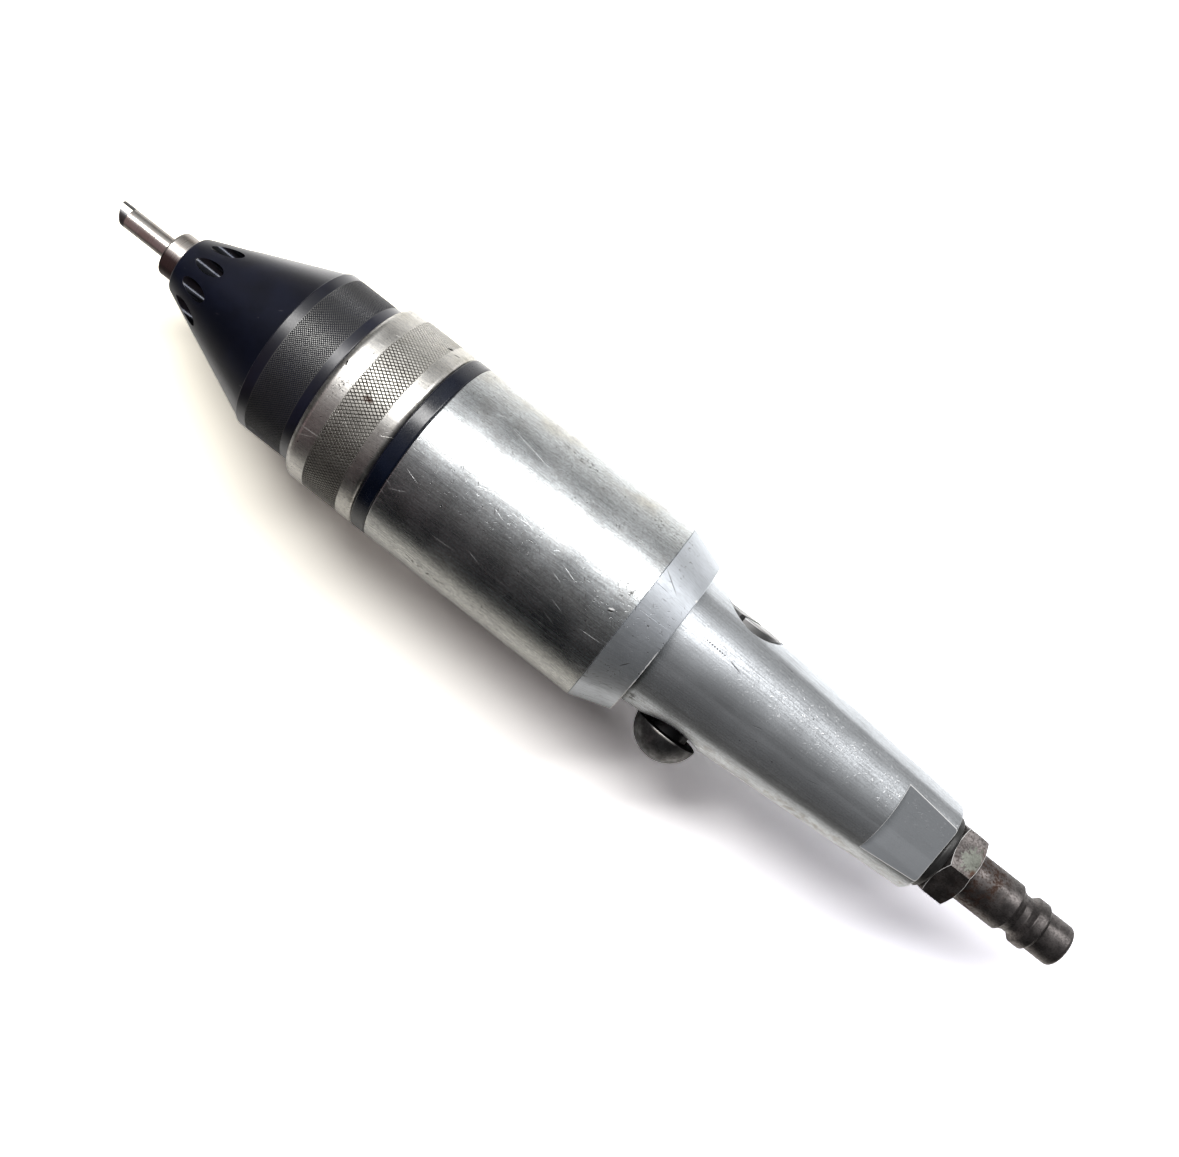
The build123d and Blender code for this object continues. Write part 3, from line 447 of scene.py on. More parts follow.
def mill(piece, shape, material, count=1, phase=0.0, matrix=None):
    """Cuts a cutter's shape from a piece, repeated about the spindle axis."""
    mesh = bpy.data.meshes.new(piece.name + "_cutter")
    if matrix:
        shape.transform(matrix)
    shape.to_mesh(mesh)
    shape.free()
    cutter = new_object(mesh.name, mesh)
    add_tree(piece, milled_tree, cutter=cutter, count=count, phase=math.radians(phase), material=material)


def evaluated_mesh(piece):
    """A new plain mesh of a piece with its modifiers carried out."""
    graph = bpy.context.evaluated_depsgraph_get()
    return bpy.data.meshes.new_from_object(piece.evaluated_get(graph))


def finish_piece(piece, body, nodes, matrix=None, soften=None):
    """Makes a piece plain mesh, places it, and ties it to its body and nodes."""
    mesh = evaluated_mesh(piece)
    cutters = [
        modifier[item.identifier]
        for modifier in piece.modifiers
        for item in modifier.node_group.interface.items_tree
        if item.in_out == "INPUT" and item.name == "Cutter"
    ]
    piece.modifiers.clear()
    for cutter in cutters:
        bpy.data.meshes.remove(cutter.data)
    shape = bmesh.new()
    shape.from_mesh(mesh)
    if matrix:
        shape.transform(matrix)
    bmesh.ops.remove_doubles(shape, verts=shape.verts, dist=CLOSE)
    bmesh.ops.recalc_face_normals(shape, faces=shape.faces)
    if soften:
        width, wanted = soften
        edges = [
            edge
            for edge in shape.edges
            if len(edge.link_faces) == 2
            and edge.calc_face_angle(0) > SOFT_EDGE
            and wanted((edge.verts[0].co + edge.verts[1].co) / (2 * MM))
        ]
        bmesh.ops.bevel(
            shape,
            geom=edges,
            offset=width * MM,
            segments=3,
            profile=0.5,
            affect="EDGES",
            clamp_overlap=False,
        )
        bmesh.ops.dissolve_degenerate(shape, dist=CLOSE / 2, edges=shape.edges)
        bmesh.ops.recalc_face_normals(shape, faces=shape.faces)
    if not shape.faces:
        raise RuntimeError(f"{piece.name} came out empty")
    for face in shape.faces:
        face.smooth = True
    shape.to_mesh(mesh)
    shape.free()
    mesh.set_sharp_from_angle(angle=CRISP_EDGE)
    piece.data = mesh
    if soften:
        # Broad faces keep their own direction beside the softened edges.
        piece.modifiers.new("broad_faces", "WEIGHTED_NORMAL").keep_sharp = True
        mesh = evaluated_mesh(piece)
        piece.modifiers.clear()
        piece.data = mesh
    mesh.name = piece.name
    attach(piece, body)
    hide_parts(*nodes)


# Materials

BLACK = (0.0, 0.0, 0.0)


def toned(color, share):
    """A darker or lighter tone of a colour."""
    return tuple(share * value for value in color)


class Finish(Tree):
    """One material's nodes, with textures in millimetres unrolled about the spindle."""

    def __init__(self, name, radius=20.0, color=BLACK):
        self.material = bpy.data.materials.new(name)
        self.material.use_nodes = True
        super().__init__(self.material.node_tree)
        self.tree.nodes.clear()
        self.shade = color
        place = self.add("ShaderNodeTexCoord").outputs["Object"]
        enlarged = self.add("ShaderNodeVectorMath", {0: place, "Scale": 1 / MM}, operation="SCALE")
        self.place = enlarged.outputs[0]
        self.x, self.y, self.z = self.separate(self.place)
        # Angle from the top towards the throttle button, in degrees.
        self.angle = self.times(self.math("ARCTAN2", self.y, self.z), math.degrees(1))
        self.out = self.hypot(self.y, self.z)
        self.around = self.times(self.angle, math.radians(radius))

    def hypot(self, a, b):
        """Length of two sides at right angles taken together."""
        return self.math("SQRT", self.plus(self.times(a, a), self.times(b, b)))

    def noise(self, scale, detail, roughness=0.55, vector=None):
        """Cloudy noise, in features per millimetre."""
        inputs = {"Vector": vector or self.place, "Scale": scale, "Detail": detail, "Roughness": roughness}
        return self.add("ShaderNodeTexNoise", inputs).outputs[0]

    def leant(self, x, around, lean, along, across):
        """Two lengths on the surface, turned by some degrees and scaled each way."""
        c, s = math.cos(math.radians(lean)), math.sin(math.radians(lean))
        first = self.plus(self.times(x, c * along), self.times(around, s * along))
        second = self.plus(self.times(x, -s * across), self.times(around, c * across))
        return first, second

    def unrolled(self, along, across, lean=0.0, seed=0.0):
        """The surface laid flat, leant by some degrees and scaled each way."""
        return self.combine(*self.leant(self.x, self.around, lean, along, across), seed)

    def streaks(self, along, across, detail, lean=0.0, seed=0.0):
        """Noise stretched along the spindle: features per millimetre each way."""
        return self.noise(1.0, detail, vector=self.unrolled(along, across, lean, seed))

    def dashes(self, length, width, share, lean=0.0, seed=0.0, spacing=4.0):
        """Sparse straight marks of a length and width in millimetres."""
        vector = self.unrolled(1 / (length * spacing), 1 / (width * spacing * 3), lean, seed)
        cells = self.add("ShaderNodeTexVoronoi", {"Vector": vector, "Scale": 1.0})
        near = self.span(cells.outputs["Distance"], 0.5 / spacing, 0.25 / spacing)
        pick = self.separate(cells.outputs["Color"])[0]
        return self.times(near, self.math("LESS_THAN", pick, share))

    def spot(self, x, angle, length, width, lean=0.0, core=0.0):
        """1 in the middle of an oval spot on the surface, falling to 0 at its edge."""
        dx = self.plus(self.x, -x)
        da = self.times(self.plus(self.angle, -angle), math.radians(1), self.out)
        far = self.hypot(*self.leant(dx, da, lean, 2 / length, 2 / width))
        return self.span(far, core, 1.0, 1.0, 0.0)

    def vary(self, texture, low, high):
        """Spreads the middle of a texture evenly over a range."""
        return self.span(texture, 0.3, 0.7, low, high, False)

    def fade(self, share, low):
        """1, falling to a lower value where a share is full."""
        return self.span(share, 0.0, 1.0, 1.0, low)

    def tint(self, share, color, weight=1.0):
        """Mixes a colour into the material's own."""
        if weight != 1.0:
            share = self.times(share, weight)
        self.shade = self.mix(share, self.shade, color)

    def clouds(self, scale, tone):
        """Mixes clouds of another tone into the material's plain colour."""
        cloudy = self.noise(scale, 4.0)
        self.tint(self.span(cloudy, 0.35, 0.7), toned(self.shade, tone))
        return cloudy

    def bump(self, height, depth, strength):
        """A normal from a height of 0 to 1 that is worth a depth in millimetres."""
        inputs = {"Height": height, "Distance": depth * MM, "Strength": strength}
        return self.add("ShaderNodeBump", inputs).outputs[0]

    def close(self, roughness, normal, **sockets):
        """Ends the material in one surface shader."""
        shader = self.add("ShaderNodeBsdfPrincipled", {"Roughness": roughness, "Normal": normal})
        self.paint(shader.inputs["Base Color"], self.shade)
        for name, value in sockets.items():
            self.feed(shader.inputs[name.replace("_", " ")], value)
        self.add("ShaderNodeOutputMaterial", {0: shader.outputs[0]})
        return self.material


def bright_aluminium(name, color, shown=1.0):
    """Bright turned aluminium with lengthwise scratches, pits and stains, a painted warm reflection along its
    lower side, and its nodes.
    """
    m = Finish(name, BODY_RADIUS, color)
    m.brushed = m.streaks(0.06, 1.5, 5.0)
    m.grain = m.noise(2.4, 4.0, 0.6)
    m.fine = m.streaks(0.40, 3.6, 4.0, seed=7.0)
    hair = m.streaks(0.22, 6.0, 3.0, lean=3.0, seed=17.0)
    cloudy = m.noise(0.09, 3.0)
    crowd = m.span(m.noise(0.10, 2.0), 0.38, 0.54)
    m.marks = m.most(
        m.dashes(9.0, 0.06, 0.40, lean=4.0),
        m.dashes(5.0, 0.05, 0.40, lean=-17.0, seed=5.0),
        m.dashes(6.0, 0.05, 0.30, lean=28.0, seed=33.0),
        m.times(m.spot(8.7, -42.7, 18.5, 0.24, -12.0, 0.3), 0.7),
    )
    scores = m.most(
        m.dashes(7.0, 0.035, 0.45, lean=11.0, seed=41.0),
        m.dashes(8.0, 0.035, 0.45, lean=-8.0, seed=45.0),
        m.dashes(4.0, 0.035, 0.40, lean=-31.0, seed=49.0),
    )
    nips = m.times(
        crowd,
        m.most(
            m.dashes(1.1, 0.06, 0.50, lean=38.0, seed=9.0, spacing=3.0),
            m.dashes(1.4, 0.06, 0.40, lean=-58.0, seed=21.0, spacing=3.0),
            m.dashes(1.6, 0.06, 0.40, lean=6.0, seed=27.0, spacing=3.0),
        ),
    )
    pits = m.dashes(0.34, 0.12, 0.09, seed=13.0)
    flecks = m.times(crowd, m.span(m.noise(1.3, 6.0, 0.7), 0.61, 0.67))
    stain = m.span(m.noise(0.16, 5.0, 0.65), 0.50, 0.72)
    limb = m.zone(m.angle, -90.0, -62.0, 8.0)
    m.tint(stain, (0.54, 0.53, 0.50), 0.4)
    m.tint(m.times(limb, m.span(cloudy, 0.40, 0.62, 0.0, 0.7)), (0.74, 0.71, 0.60))
    # Painted reflection: the lower side is tinted warm.
    m.tint(m.zone(m.angle, 40.0, 95.0, 8.0), (0.97, 0.93, 0.84), 0.6)
    m.tint(m.span(m.fine, 0.44, 0.60, 0.0, 0.54 * shown, False), (0.36, 0.36, 0.37))
    m.tint(m.span(hair, 0.50, 0.60, 0.0, 0.45 * shown, False), (0.36, 0.36, 0.37))
    m.tint(m.span(m.grain, 0.47, 0.58, 0.0, 0.45 * shown, False), (0.38, 0.38, 0.39))
    m.tint(m.marks, (0.95, 0.95, 0.95), 0.35)
    m.tint(scores, (0.22, 0.22, 0.22), 0.45)
    m.dirt = m.most(pits, m.times(flecks, 0.9), m.times(nips, 0.75))
    m.rough = m.plus(
        m.vary(m.brushed, 0.255, 0.335),
        m.vary(m.fine, -0.05, 0.06),
        m.span(cloudy, 0.35, 0.65, -0.03, 0.05, False),
        m.times(m.marks, 0.30),
    )
    return m


def close_bright(m, metal=1.0):
    """Ends bright aluminium with its dirt and the depth of its marks."""
    m.tint(m.dirt, (0.04, 0.036, 0.03), 0.88)
    depth = m.plus(
        m.times(m.marks, -0.9),
        m.times(m.dirt, -0.8),
        m.times(m.grain, 0.2),
        m.times(m.brushed, 0.2),
        m.times(m.fine, 0.25),
    )
    return m.close(m.rough, m.bump(depth, 0.022, 0.9), Metallic=metal)


def clamp_aluminium(name, color, depth):
    """Bright aluminium of the clamp ring, with dirt in its knurl and painted light and shade across the knurl
    by its side.
    """
    m = bright_aluminium(name, color, 0.55)
    low = m.span(m.out, BODY_RADIUS - 0.16 * depth, BODY_RADIUS - 0.015 * depth, 1.0, 0.0)
    band = m.zone(m.x, *CLAMP_BAND, 0.05)
    # Painted light and shade by side: the groove dirt is thinned on the upper side towards the light, the
    # band is greyed from its highlight down, and painted shade darkens the throttle's side.
    grime_and_painted_light = m.times(
        m.span(m.noise(0.28, 4.0), 0.3, 0.65, 0.82, 1.0),
        m.span(m.angle, -62.0, -34.0, 0.55, 1.0),
    )
    m.tint(m.times(band, m.span(m.angle, -44.0, -28.0, 0.20, 0.58)), (0.40, 0.39, 0.36))
    painted_shade_below = m.times(band, m.zone(m.angle, 14.0, 66.0, 8.0))
    m.tint(painted_shade_below, (0.10, 0.095, 0.085), 0.42)
    m.tint(m.times(low, grime_and_painted_light, band), (0.055, 0.05, 0.04))
    edges = m.plus(
        m.span(m.x, X_CLAMP_FRONT - 3.0, X_CLAMP_FRONT),
        m.span(m.x, X_CLAMP_REAR + 3.0, X_CLAMP_REAR),
    )
    smear = m.times(m.span(m.noise(0.45, 5.0, 0.65), 0.46, 0.66), m.plus(m.times(edges, 0.5), 0.12))
    m.tint(smear, (0.34, 0.32, 0.27))
    nicks = m.most(
        m.spot(37.2, -67.8, 1.9, 1.1, 40.0, 0.5),
        m.spot(35.0, -66.0, 2.4, 0.45, 25.0, 0.4),
        m.spot(50.0, -16.2, 0.55, 2.2, 20.0, 0.4),
    )
    specks = m.times(m.spot(48.0, -5.0, 5.0, 6.5, core=0.3), m.span(m.noise(1.9, 5.0), 0.56, 0.61))
    m.dirt = m.most(m.dirt, specks)
    rust = m.times(m.spot(41.6, -8.0, 4.2, 2.6), m.span(m.noise(1.1, 3.0), 0.40, 0.56))
    m.tint(rust, (0.075, 0.028, 0.012))
    m.tint(nicks, (0.010, 0.009, 0.008))
    m.rough = m.plus(
        m.rough,
        0.03,
        m.times(band, 0.12),
        m.times(low, band, 0.25),
        m.times(smear, 0.05),
        m.times(rust, 0.3),
    )
    return close_bright(m)


def housing_aluminium(name, color):
    """Bright aluminium of the motor housing, with a matt tapered shoulder, painted shade on the taper's lower
    side and a painted glint on a nick.
    """
    m = bright_aluminium(name, color)
    matt = m.span(m.x, X_BODY_REAR - 0.06, X_BODY_REAR + 0.06, 1.0, 0.0)
    cuts = m.most(
        m.spot(-31.5, -32.6, 7.0, 0.36, -28.0, 0.4),
        m.spot(-34.4, 20.8, 3.0, 0.34, 52.0, 0.4),
        m.spot(-37.0, -27.0, 1.2, 0.25, -30.0),
        m.spot(-32.0, 4.0, 0.8, 0.3),
    )
    cuts = m.times(m.most(cuts, m.times(m.marks, 0.4)), 0.75)
    # Painted shade darkens the taper's lower side.
    painted_shade_under = m.plus(
        m.times(m.span(m.angle, 56.0, 78.0), 0.36),
        m.times(m.zone(m.angle, 30.0, 44.0, 6.0), 0.24),
    )
    grey = m.mix(m.span(m.noise(0.22, 4.0), 0.35, 0.7), (0.665, 0.705, 0.755), (0.72, 0.76, 0.82))
    grey = m.mix(m.span(m.fine, 0.46, 0.60, 0.0, 0.28, False), grey, (0.40, 0.41, 0.44))
    grey = m.mix(cuts, grey, (0.13, 0.13, 0.14))
    grey = m.mix(painted_shade_under, grey, (0.10, 0.10, 0.10))
    m.tint(matt, grey)
    m.rough = m.plus(m.rough, m.times(matt, 0.14))
    # A nick beside the taper, a dark slit with a painted glint on one lip, a bright chip near the shoulder,
    # and a dark crevice at the taper's front edge.
    slit = m.spot(-25.1, 0.7, 1.9, 0.5, 21.0, 0.4)
    lip = m.spot(-25.1, -0.6, 1.8, 0.5, 21.0, 0.5)
    painted_glint_and_chip = m.most(lip, m.spot(-38.3, -36.1, 1.1, 0.9, core=0.4))
    m.tint(painted_glint_and_chip, (0.92, 0.92, 0.92))
    crevice = m.times(m.zone(m.x, X_BODY_REAR - 0.05, X_BODY_REAR + 0.05, 0.06), 0.6)
    patches = m.most(
        m.spot(-25.4, -13.5, 7.0, 6.0, core=0.3),
        m.spot(-23.0, -60.0, 12.0, 7.0, core=0.2),
        m.spot(-2.0, -62.0, 20.0, 4.0, core=0.2),
        m.spot(12.0, 58.0, 26.0, 5.0),
    )
    scraped = m.times(patches, m.span(m.noise(1.2, 6.0, 0.7), 0.54, 0.60))
    m.dirt = m.most(m.dirt, slit, crevice, scraped)
    rubbed = m.times(
        m.zone(m.x, X_SHOULDER - 0.2, X_SHOULDER + 0.22, 0.06),
        m.zone(m.angle, 2.0, 80.0, 6.0),
        m.span(m.noise(0.55, 4.0), 0.40, 0.52),
    )
    m.tint(rubbed, (0.98, 0.98, 0.98))
    return close_bright(m, m.times(m.fade(matt, 0.86), m.fade(painted_glint_and_chip, 0.1), m.fade(rubbed, 0.2)))


def handle_aluminium(name, color):
    """Satin grey aluminium with fine scuffs along its upper side, and painted shade on its top, its flats and
    against the shoulder.
    """
    m = Finish(name, 14.0, color)
    fine = m.noise(2.6, 3.0)
    lines = m.streaks(0.15, 3.2, 4.0)
    cloudy = m.noise(0.10, 3.0)
    crowd = m.times(
        m.zone(m.angle, -48.0, -8.0, 16.0),
        m.span(m.x, -50.0, -78.0, 0.25, 1.0),
        m.span(m.noise(0.22, 3.0), 0.38, 0.56),
    )
    on_flat = m.times(
        m.zone(m.math("ABSOLUTE", m.z), FLAT_OUT - 0.05, FLAT_OUT + 0.05, 0.04),
        m.span(m.x, X_FLAT_FRONT + 0.1, X_FLAT_FRONT),
    )
    scuffs = m.most(
        m.dashes(1.1, 0.10, 0.65, lean=35.0, spacing=2.2),
        m.dashes(0.9, 0.10, 0.65, lean=-40.0, seed=4.0, spacing=2.2),
        m.dashes(0.8, 0.12, 0.60, lean=85.0, seed=6.0, spacing=2.4),
        m.span(m.noise(2.0, 5.0, 0.75), 0.62, 0.66),
    )
    scuffs = m.times(scuffs, m.plus(m.times(crowd, 0.95), 0.05), m.fade(on_flat, 0.3))
    # A dotted score near the root, and a few sparse scratches.
    dots = m.span(m.math("PINGPONG", m.x, 0.35), 0.12, 0.24)
    score = m.most(
        m.times(m.spot(-47.4, -24.0, 8.0, 0.50, -2.0, 0.6), dots),
        m.spot(-53.4, -21.6, 5.0, 0.44, -13.0, 0.3),
        m.times(m.dashes(4.0, 0.08, 0.16, lean=14.0, seed=8.0), 0.5),
    )
    pits = m.dashes(0.34, 0.14, 0.05, seed=13.0)
    m.tint(m.span(cloudy, 0.3, 0.7), toned(color, 0.84))
    m.tint(m.span(lines, 0.46, 0.62, 0.0, 0.40, False), (0.38, 0.39, 0.41))
    m.tint(m.span(fine, 0.45, 0.62, 0.0, 0.35, False), (0.38, 0.39, 0.41))
    # Painted shade darkens the top, less towards the root, so that the top looks matt and both sides bright.
    painted_shade_top = m.times(
        m.zone(m.angle, -59.0, 45.0, 4.0),
        m.span(m.zone(m.angle, 9.0, 33.0, 4.0), 0.0, 1.0, 0.52, 0.34),
        m.span(m.x, -60.0, -44.0, 1.0, 0.80),
    )
    m.tint(painted_shade_top, BLACK)
    # Painted shade on the flats, which face up.
    m.tint(on_flat, (0.41, 0.435, 0.465), 0.60)
    stains = m.times(m.zone(m.angle, 52.0, 88.0, 8.0), m.span(m.noise(0.30, 6.0, 0.7), 0.47, 0.66))
    m.tint(stains, (0.30, 0.27, 0.22), 0.5)
    m.tint(score, (0.07, 0.07, 0.075), 0.9)
    # Painted shade darkens the corner against the shoulder, most on the throttle's side, with a dark blotch
    # nearby.
    crevice = m.times(m.span(m.x, X_SHOULDER - 1.6, X_SHOULDER - 0.2), m.span(m.angle, -8.0, 34.0))
    blotch = m.times(m.spot(-40.0, 55.0, 4.0, 5.0, core=0.2), m.span(m.noise(0.8, 5.0, 0.65), 0.42, 0.56))
    m.tint(m.most(crevice, blotch), (0.02, 0.019, 0.017), 0.82)
    m.tint(pits, (0.05, 0.05, 0.05), 0.85)
    m.tint(scuffs, (0.92, 0.93, 0.95), 0.6)
    rough = m.plus(
        m.vary(fine, -0.05, 0.05),
        m.vary(lines, -0.05, 0.06),
        m.span(m.x, -75.0, -42.0, 0.52, 0.43),
    )
    depth = m.plus(
        m.times(scuffs, 1.2),
        m.times(score, -1.0),
        m.times(pits, -1.0),
        m.times(fine, 0.25),
        m.times(lines, 0.25),
    )
    return m.close(rough, m.bump(depth, 0.025, 0.9), Metallic=0.86)


def black_anodised(name, color, roughness, ior, coat=1.0):
    """Satin black anodised aluminium, and its nodes for what is added to it."""
    m = Finish(name, GRIP_RADIUS, color)
    m.fine = m.noise(3.0, 2.0)
    m.marks = m.dashes(2.0, 0.09, 0.12, lean=30.0)
    specks = m.dashes(0.34, 0.14, 0.08, seed=4.0)
    cloudy = m.clouds(0.12, 1.9)
    m.tint(m.most(m.marks, specks), (0.16, 0.16, 0.17), 0.5)
    m.rough = m.plus(m.vary(m.fine, roughness - 0.05, roughness + 0.07), m.times(cloudy, 0.06))
    m.gloss = {"IOR": ior, "Coat_Weight": coat, "Coat_IOR": ior, "Coat_Roughness": roughness}
    return m


def close_black(m, **sockets):
    """Ends black anodised aluminium with the depth of its marks."""
    depth = m.plus(m.times(m.fine, 0.4), m.times(m.marks, -0.6))
    return m.close(m.rough, m.bump(depth, 0.012, 0.7), **{**m.gloss, **sockets})


def nose_black(name, color, tip, slope):
    """Black of the nose cone, with bare metal inside its exhaust holes."""
    m = black_anodised(name, color, 0.30, 1.37)
    below = m.math("SUBTRACT", m.plus(m.times(m.x, -slope), tip + slope * X_NOSE), m.out)
    inside = m.times(m.span(below, 0.05, 0.12), m.span(m.x, X_NOSE - 1.2, X_NOSE - 2.4))
    bare = m.times(inside, m.span(m.noise(0.9, 4.0), 0.30, 0.55, 0.55, 1.0))
    m.tint(bare, (0.030, 0.032, 0.038))
    m.rough = m.math("MINIMUM", m.rough, m.fade(inside, 0.20))
    return close_black(m, Metallic=m.times(inside, 0.9), Coat_Weight=m.fade(inside, 0.0))


def grip_black(name, color, depth):
    """Black of the grip band, worn grey on top of the knurl."""
    m = black_anodised(name, color, 0.30, 1.42)
    top = m.span(m.out, GRIP_RADIUS - 0.30 * depth, GRIP_RADIUS - 0.02 * depth)
    band = m.zone(m.x, *GRIP_BAND, 0.1)
    worn = m.times(top, band)
    chip = m.times(m.spot(62.0, 66.0, 3.0, 2.0), m.span(m.noise(1.2, 4.0), 0.42, 0.55))
    m.tint(worn, (0.165, 0.165, 0.162))
    m.tint(chip, (0.30, 0.31, 0.30), 0.8)
    m.rough = m.plus(m.rough, m.times(worn, 0.05))
    return close_black(m, Metallic=worn, Coat_Weight=m.fade(band, 0.0))


def polished_steel(name, color):
    """Polished cutter steel with fine turning lines, a warm stain, a matt ground end, and painted shade on
    the nut's lower side.
    """
    m = Finish(name, 4.0, color)
    lines = m.noise(1.0, 2.0, vector=m.combine(m.times(m.x, 5.0), m.times(m.out, 2.0), 0.0))
    stain = m.span(m.noise(0.3, 4.0), 0.45, 0.7)
    x_fork = X_BIT_TIP - FORK_DEPTH
    ground = m.span(m.x, x_fork - 0.1, x_fork + 0.1)
    # Painted shade on the nut's lower side.
    painted_shade_nut_below = m.times(m.span(m.x, X_NUT_FRONT + 0.6, X_NUT_FRONT + 0.2), m.zone(m.angle, 4.0, 70.0, 8.0))
    m.tint(stain, (0.52, 0.42, 0.36), 0.5)
    m.tint(ground, (0.20, 0.20, 0.205))
    m.tint(painted_shade_nut_below, (0.125, 0.088, 0.084), 0.92)
    rough = m.plus(m.vary(lines, 0.27, 0.29), m.times(ground, 0.10))
    return m.close(rough, m.bump(lines, 0.002, 0.6), Metallic=1.0)


def ground_metal(name, color, roughness, grain=2.0, metallic=1.0):
    """Plain machined metal with fine grain and faint stains."""
    m = Finish(name, 10.0, color)
    fine = m.noise(grain, 3.0)
    m.clouds(0.2, 0.72)
    rough = m.vary(fine, roughness - 0.06, roughness + 0.08)
    return m.close(rough, m.bump(fine, 0.01, 0.6), Metallic=metallic)


def cap_steel(name, color):
    """Grey ground steel, with painted shade in its screwdriver slot and on its forward side."""
    m = Finish(name, 16.0, color)
    fine = m.noise(2.0, 3.0)
    turn = math.radians(CAP_SLOT_TURN)
    from_slot = m.plus(m.times(m.plus(m.x, -X_THROTTLE), math.cos(turn)), m.times(m.z, -math.sin(turn)))
    # Painted shade: the slot is painted dark.
    deep = m.span(m.math("ABSOLUTE", from_slot), CAP_SLOT_HALF + 0.03, CAP_SLOT_HALF - 0.02)
    # Painted shade on the cap's forward side.
    painted_shade_side = m.span(m.x, X_THROTTLE + 2.0, X_THROTTLE + CAP_RADIUS)
    m.clouds(0.2, 0.72)
    m.tint(painted_shade_side, (0.04, 0.04, 0.04), 0.85)
    m.tint(deep, (0.012, 0.012, 0.012))
    rough = m.plus(m.vary(fine, 0.39, 0.53), m.times(deep, 0.3))
    return m.close(rough, m.bump(fine, 0.01, 0.6), Metallic=1.0)


def button_steel(name, color):
    """Matt dark steel, mottled and scuffed, with painted shade towards its base and below its rim, and a
    painted glint along its rim.
    """
    m = Finish(name, 16.0, toned(color, 0.45))
    mottle = m.noise(0.55, 5.0, 0.65)
    fine = m.noise(4.0, 2.0)
    marks = m.dashes(1.6, 0.09, 0.2, lean=50.0)
    # A painted glint along the front of the rim.
    rim = m.times(
        m.zone(m.y, Y_BUTTON_BASE + 0.15, Y_BUTTON_BASE + 0.5, 0.1),
        m.zone(m.x, X_THROTTLE - 2.3, X_THROTTLE + 3.3, 0.9),
    )
    # Painted shade below the rim, on the stem.
    painted_shade_under = m.span(m.y, Y_BUTTON_BASE + 0.12, Y_BUTTON_BASE + 0.04)
    m.tint(m.span(mottle, 0.36, 0.66), color)
    m.tint(marks, (0.4, 0.4, 0.4), 0.6)
    # Painted shade darkens the dome towards its base.
    m.tint(m.span(m.y, Y_BUTTON_BASE + 3.0, Y_BUTTON_BASE + 0.5, 0.0, 0.5), (0.04, 0.04, 0.04))
    m.tint(rim, (0.62, 0.61, 0.58))
    m.tint(painted_shade_under, (0.004, 0.004, 0.004))
    rough = m.plus(m.vary(mottle, 0.56, 0.42), m.times(painted_shade_under, 0.3), m.times(rim, -0.15))
    depth = m.plus(m.times(mottle, 0.8), m.times(fine, 0.3))
    return m.close(rough, m.bump(depth, 0.03, 0.7), Metallic=1.0)


def plug_steel(name, dark, rust_color):
    """Oily dark steel with brown rust behind the hexagon and one worn face."""
    m = Finish(name, 7.0, dark)
    blotch = m.noise(0.35, 5.0, 0.65)
    fine = m.noise(2.2, 4.0)
    on_hex = m.zone(m.x, X_HEX_REAR - 0.4, X_HEX_FRONT + 0.3, 0.2)
    ragged = m.plus(m.noise(1.1, 5.0, 0.65), -0.5)
    worn = m.times(
        m.zone(m.plus(m.angle, m.times(ragged, 75.0)), -43.0, -10.0, 2.0),
        m.zone(m.plus(m.x, m.times(ragged, 7.0)), X_HEX_REAR + 0.4, X_HEX_FRONT - 2.5, 0.25),
        on_hex,
    )
    corner = m.spot(X_HEX_REAR + 0.7, -10.0, 3.0, 3.0, core=0.3)
    corner = m.times(corner, m.span(m.noise(0.9, 4.0), 0.40, 0.55))
    rust_zone = m.plus(m.zone(m.x, X_HEX_REAR - 8.0, X_HEX_REAR + 1.0, 2.5), m.times(on_hex, 0.15))
    rust = m.times(rust_zone, m.span(m.noise(0.55, 6.0, 0.7), 0.44, 0.62, 0.08, 1.0))
    m.tint(m.span(blotch, 0.35, 0.65), toned(dark, 2.2))
    m.tint(m.span(fine, 0.48, 0.62, 0.0, 0.5, False), toned(dark, 0.4))
    m.tint(rust, rust_color, 0.85)
    m.tint(worn, (0.175, 0.185, 0.163), 0.9)
    m.tint(corner, rust_color, 0.9)
    rough = m.plus(m.vary(fine, 0.36, 0.52), m.times(rust, 0.25), m.times(worn, 0.08))
    depth = m.plus(m.times(blotch, 0.7), m.times(fine, 0.5))
    return m.close(rough, m.bump(depth, 0.03, 0.7), Metallic=0.85)


def seal_rubber(name, color):
    """Black rubber with an oily sheen."""
    m = Finish(name, 8.0, color)
    fine = m.noise(3.5, 3.0)
    m.clouds(0.4, 2.0)
    return m.close(m.vary(fine, 0.35, 0.55), m.bump(fine, 0.02, 0.6))


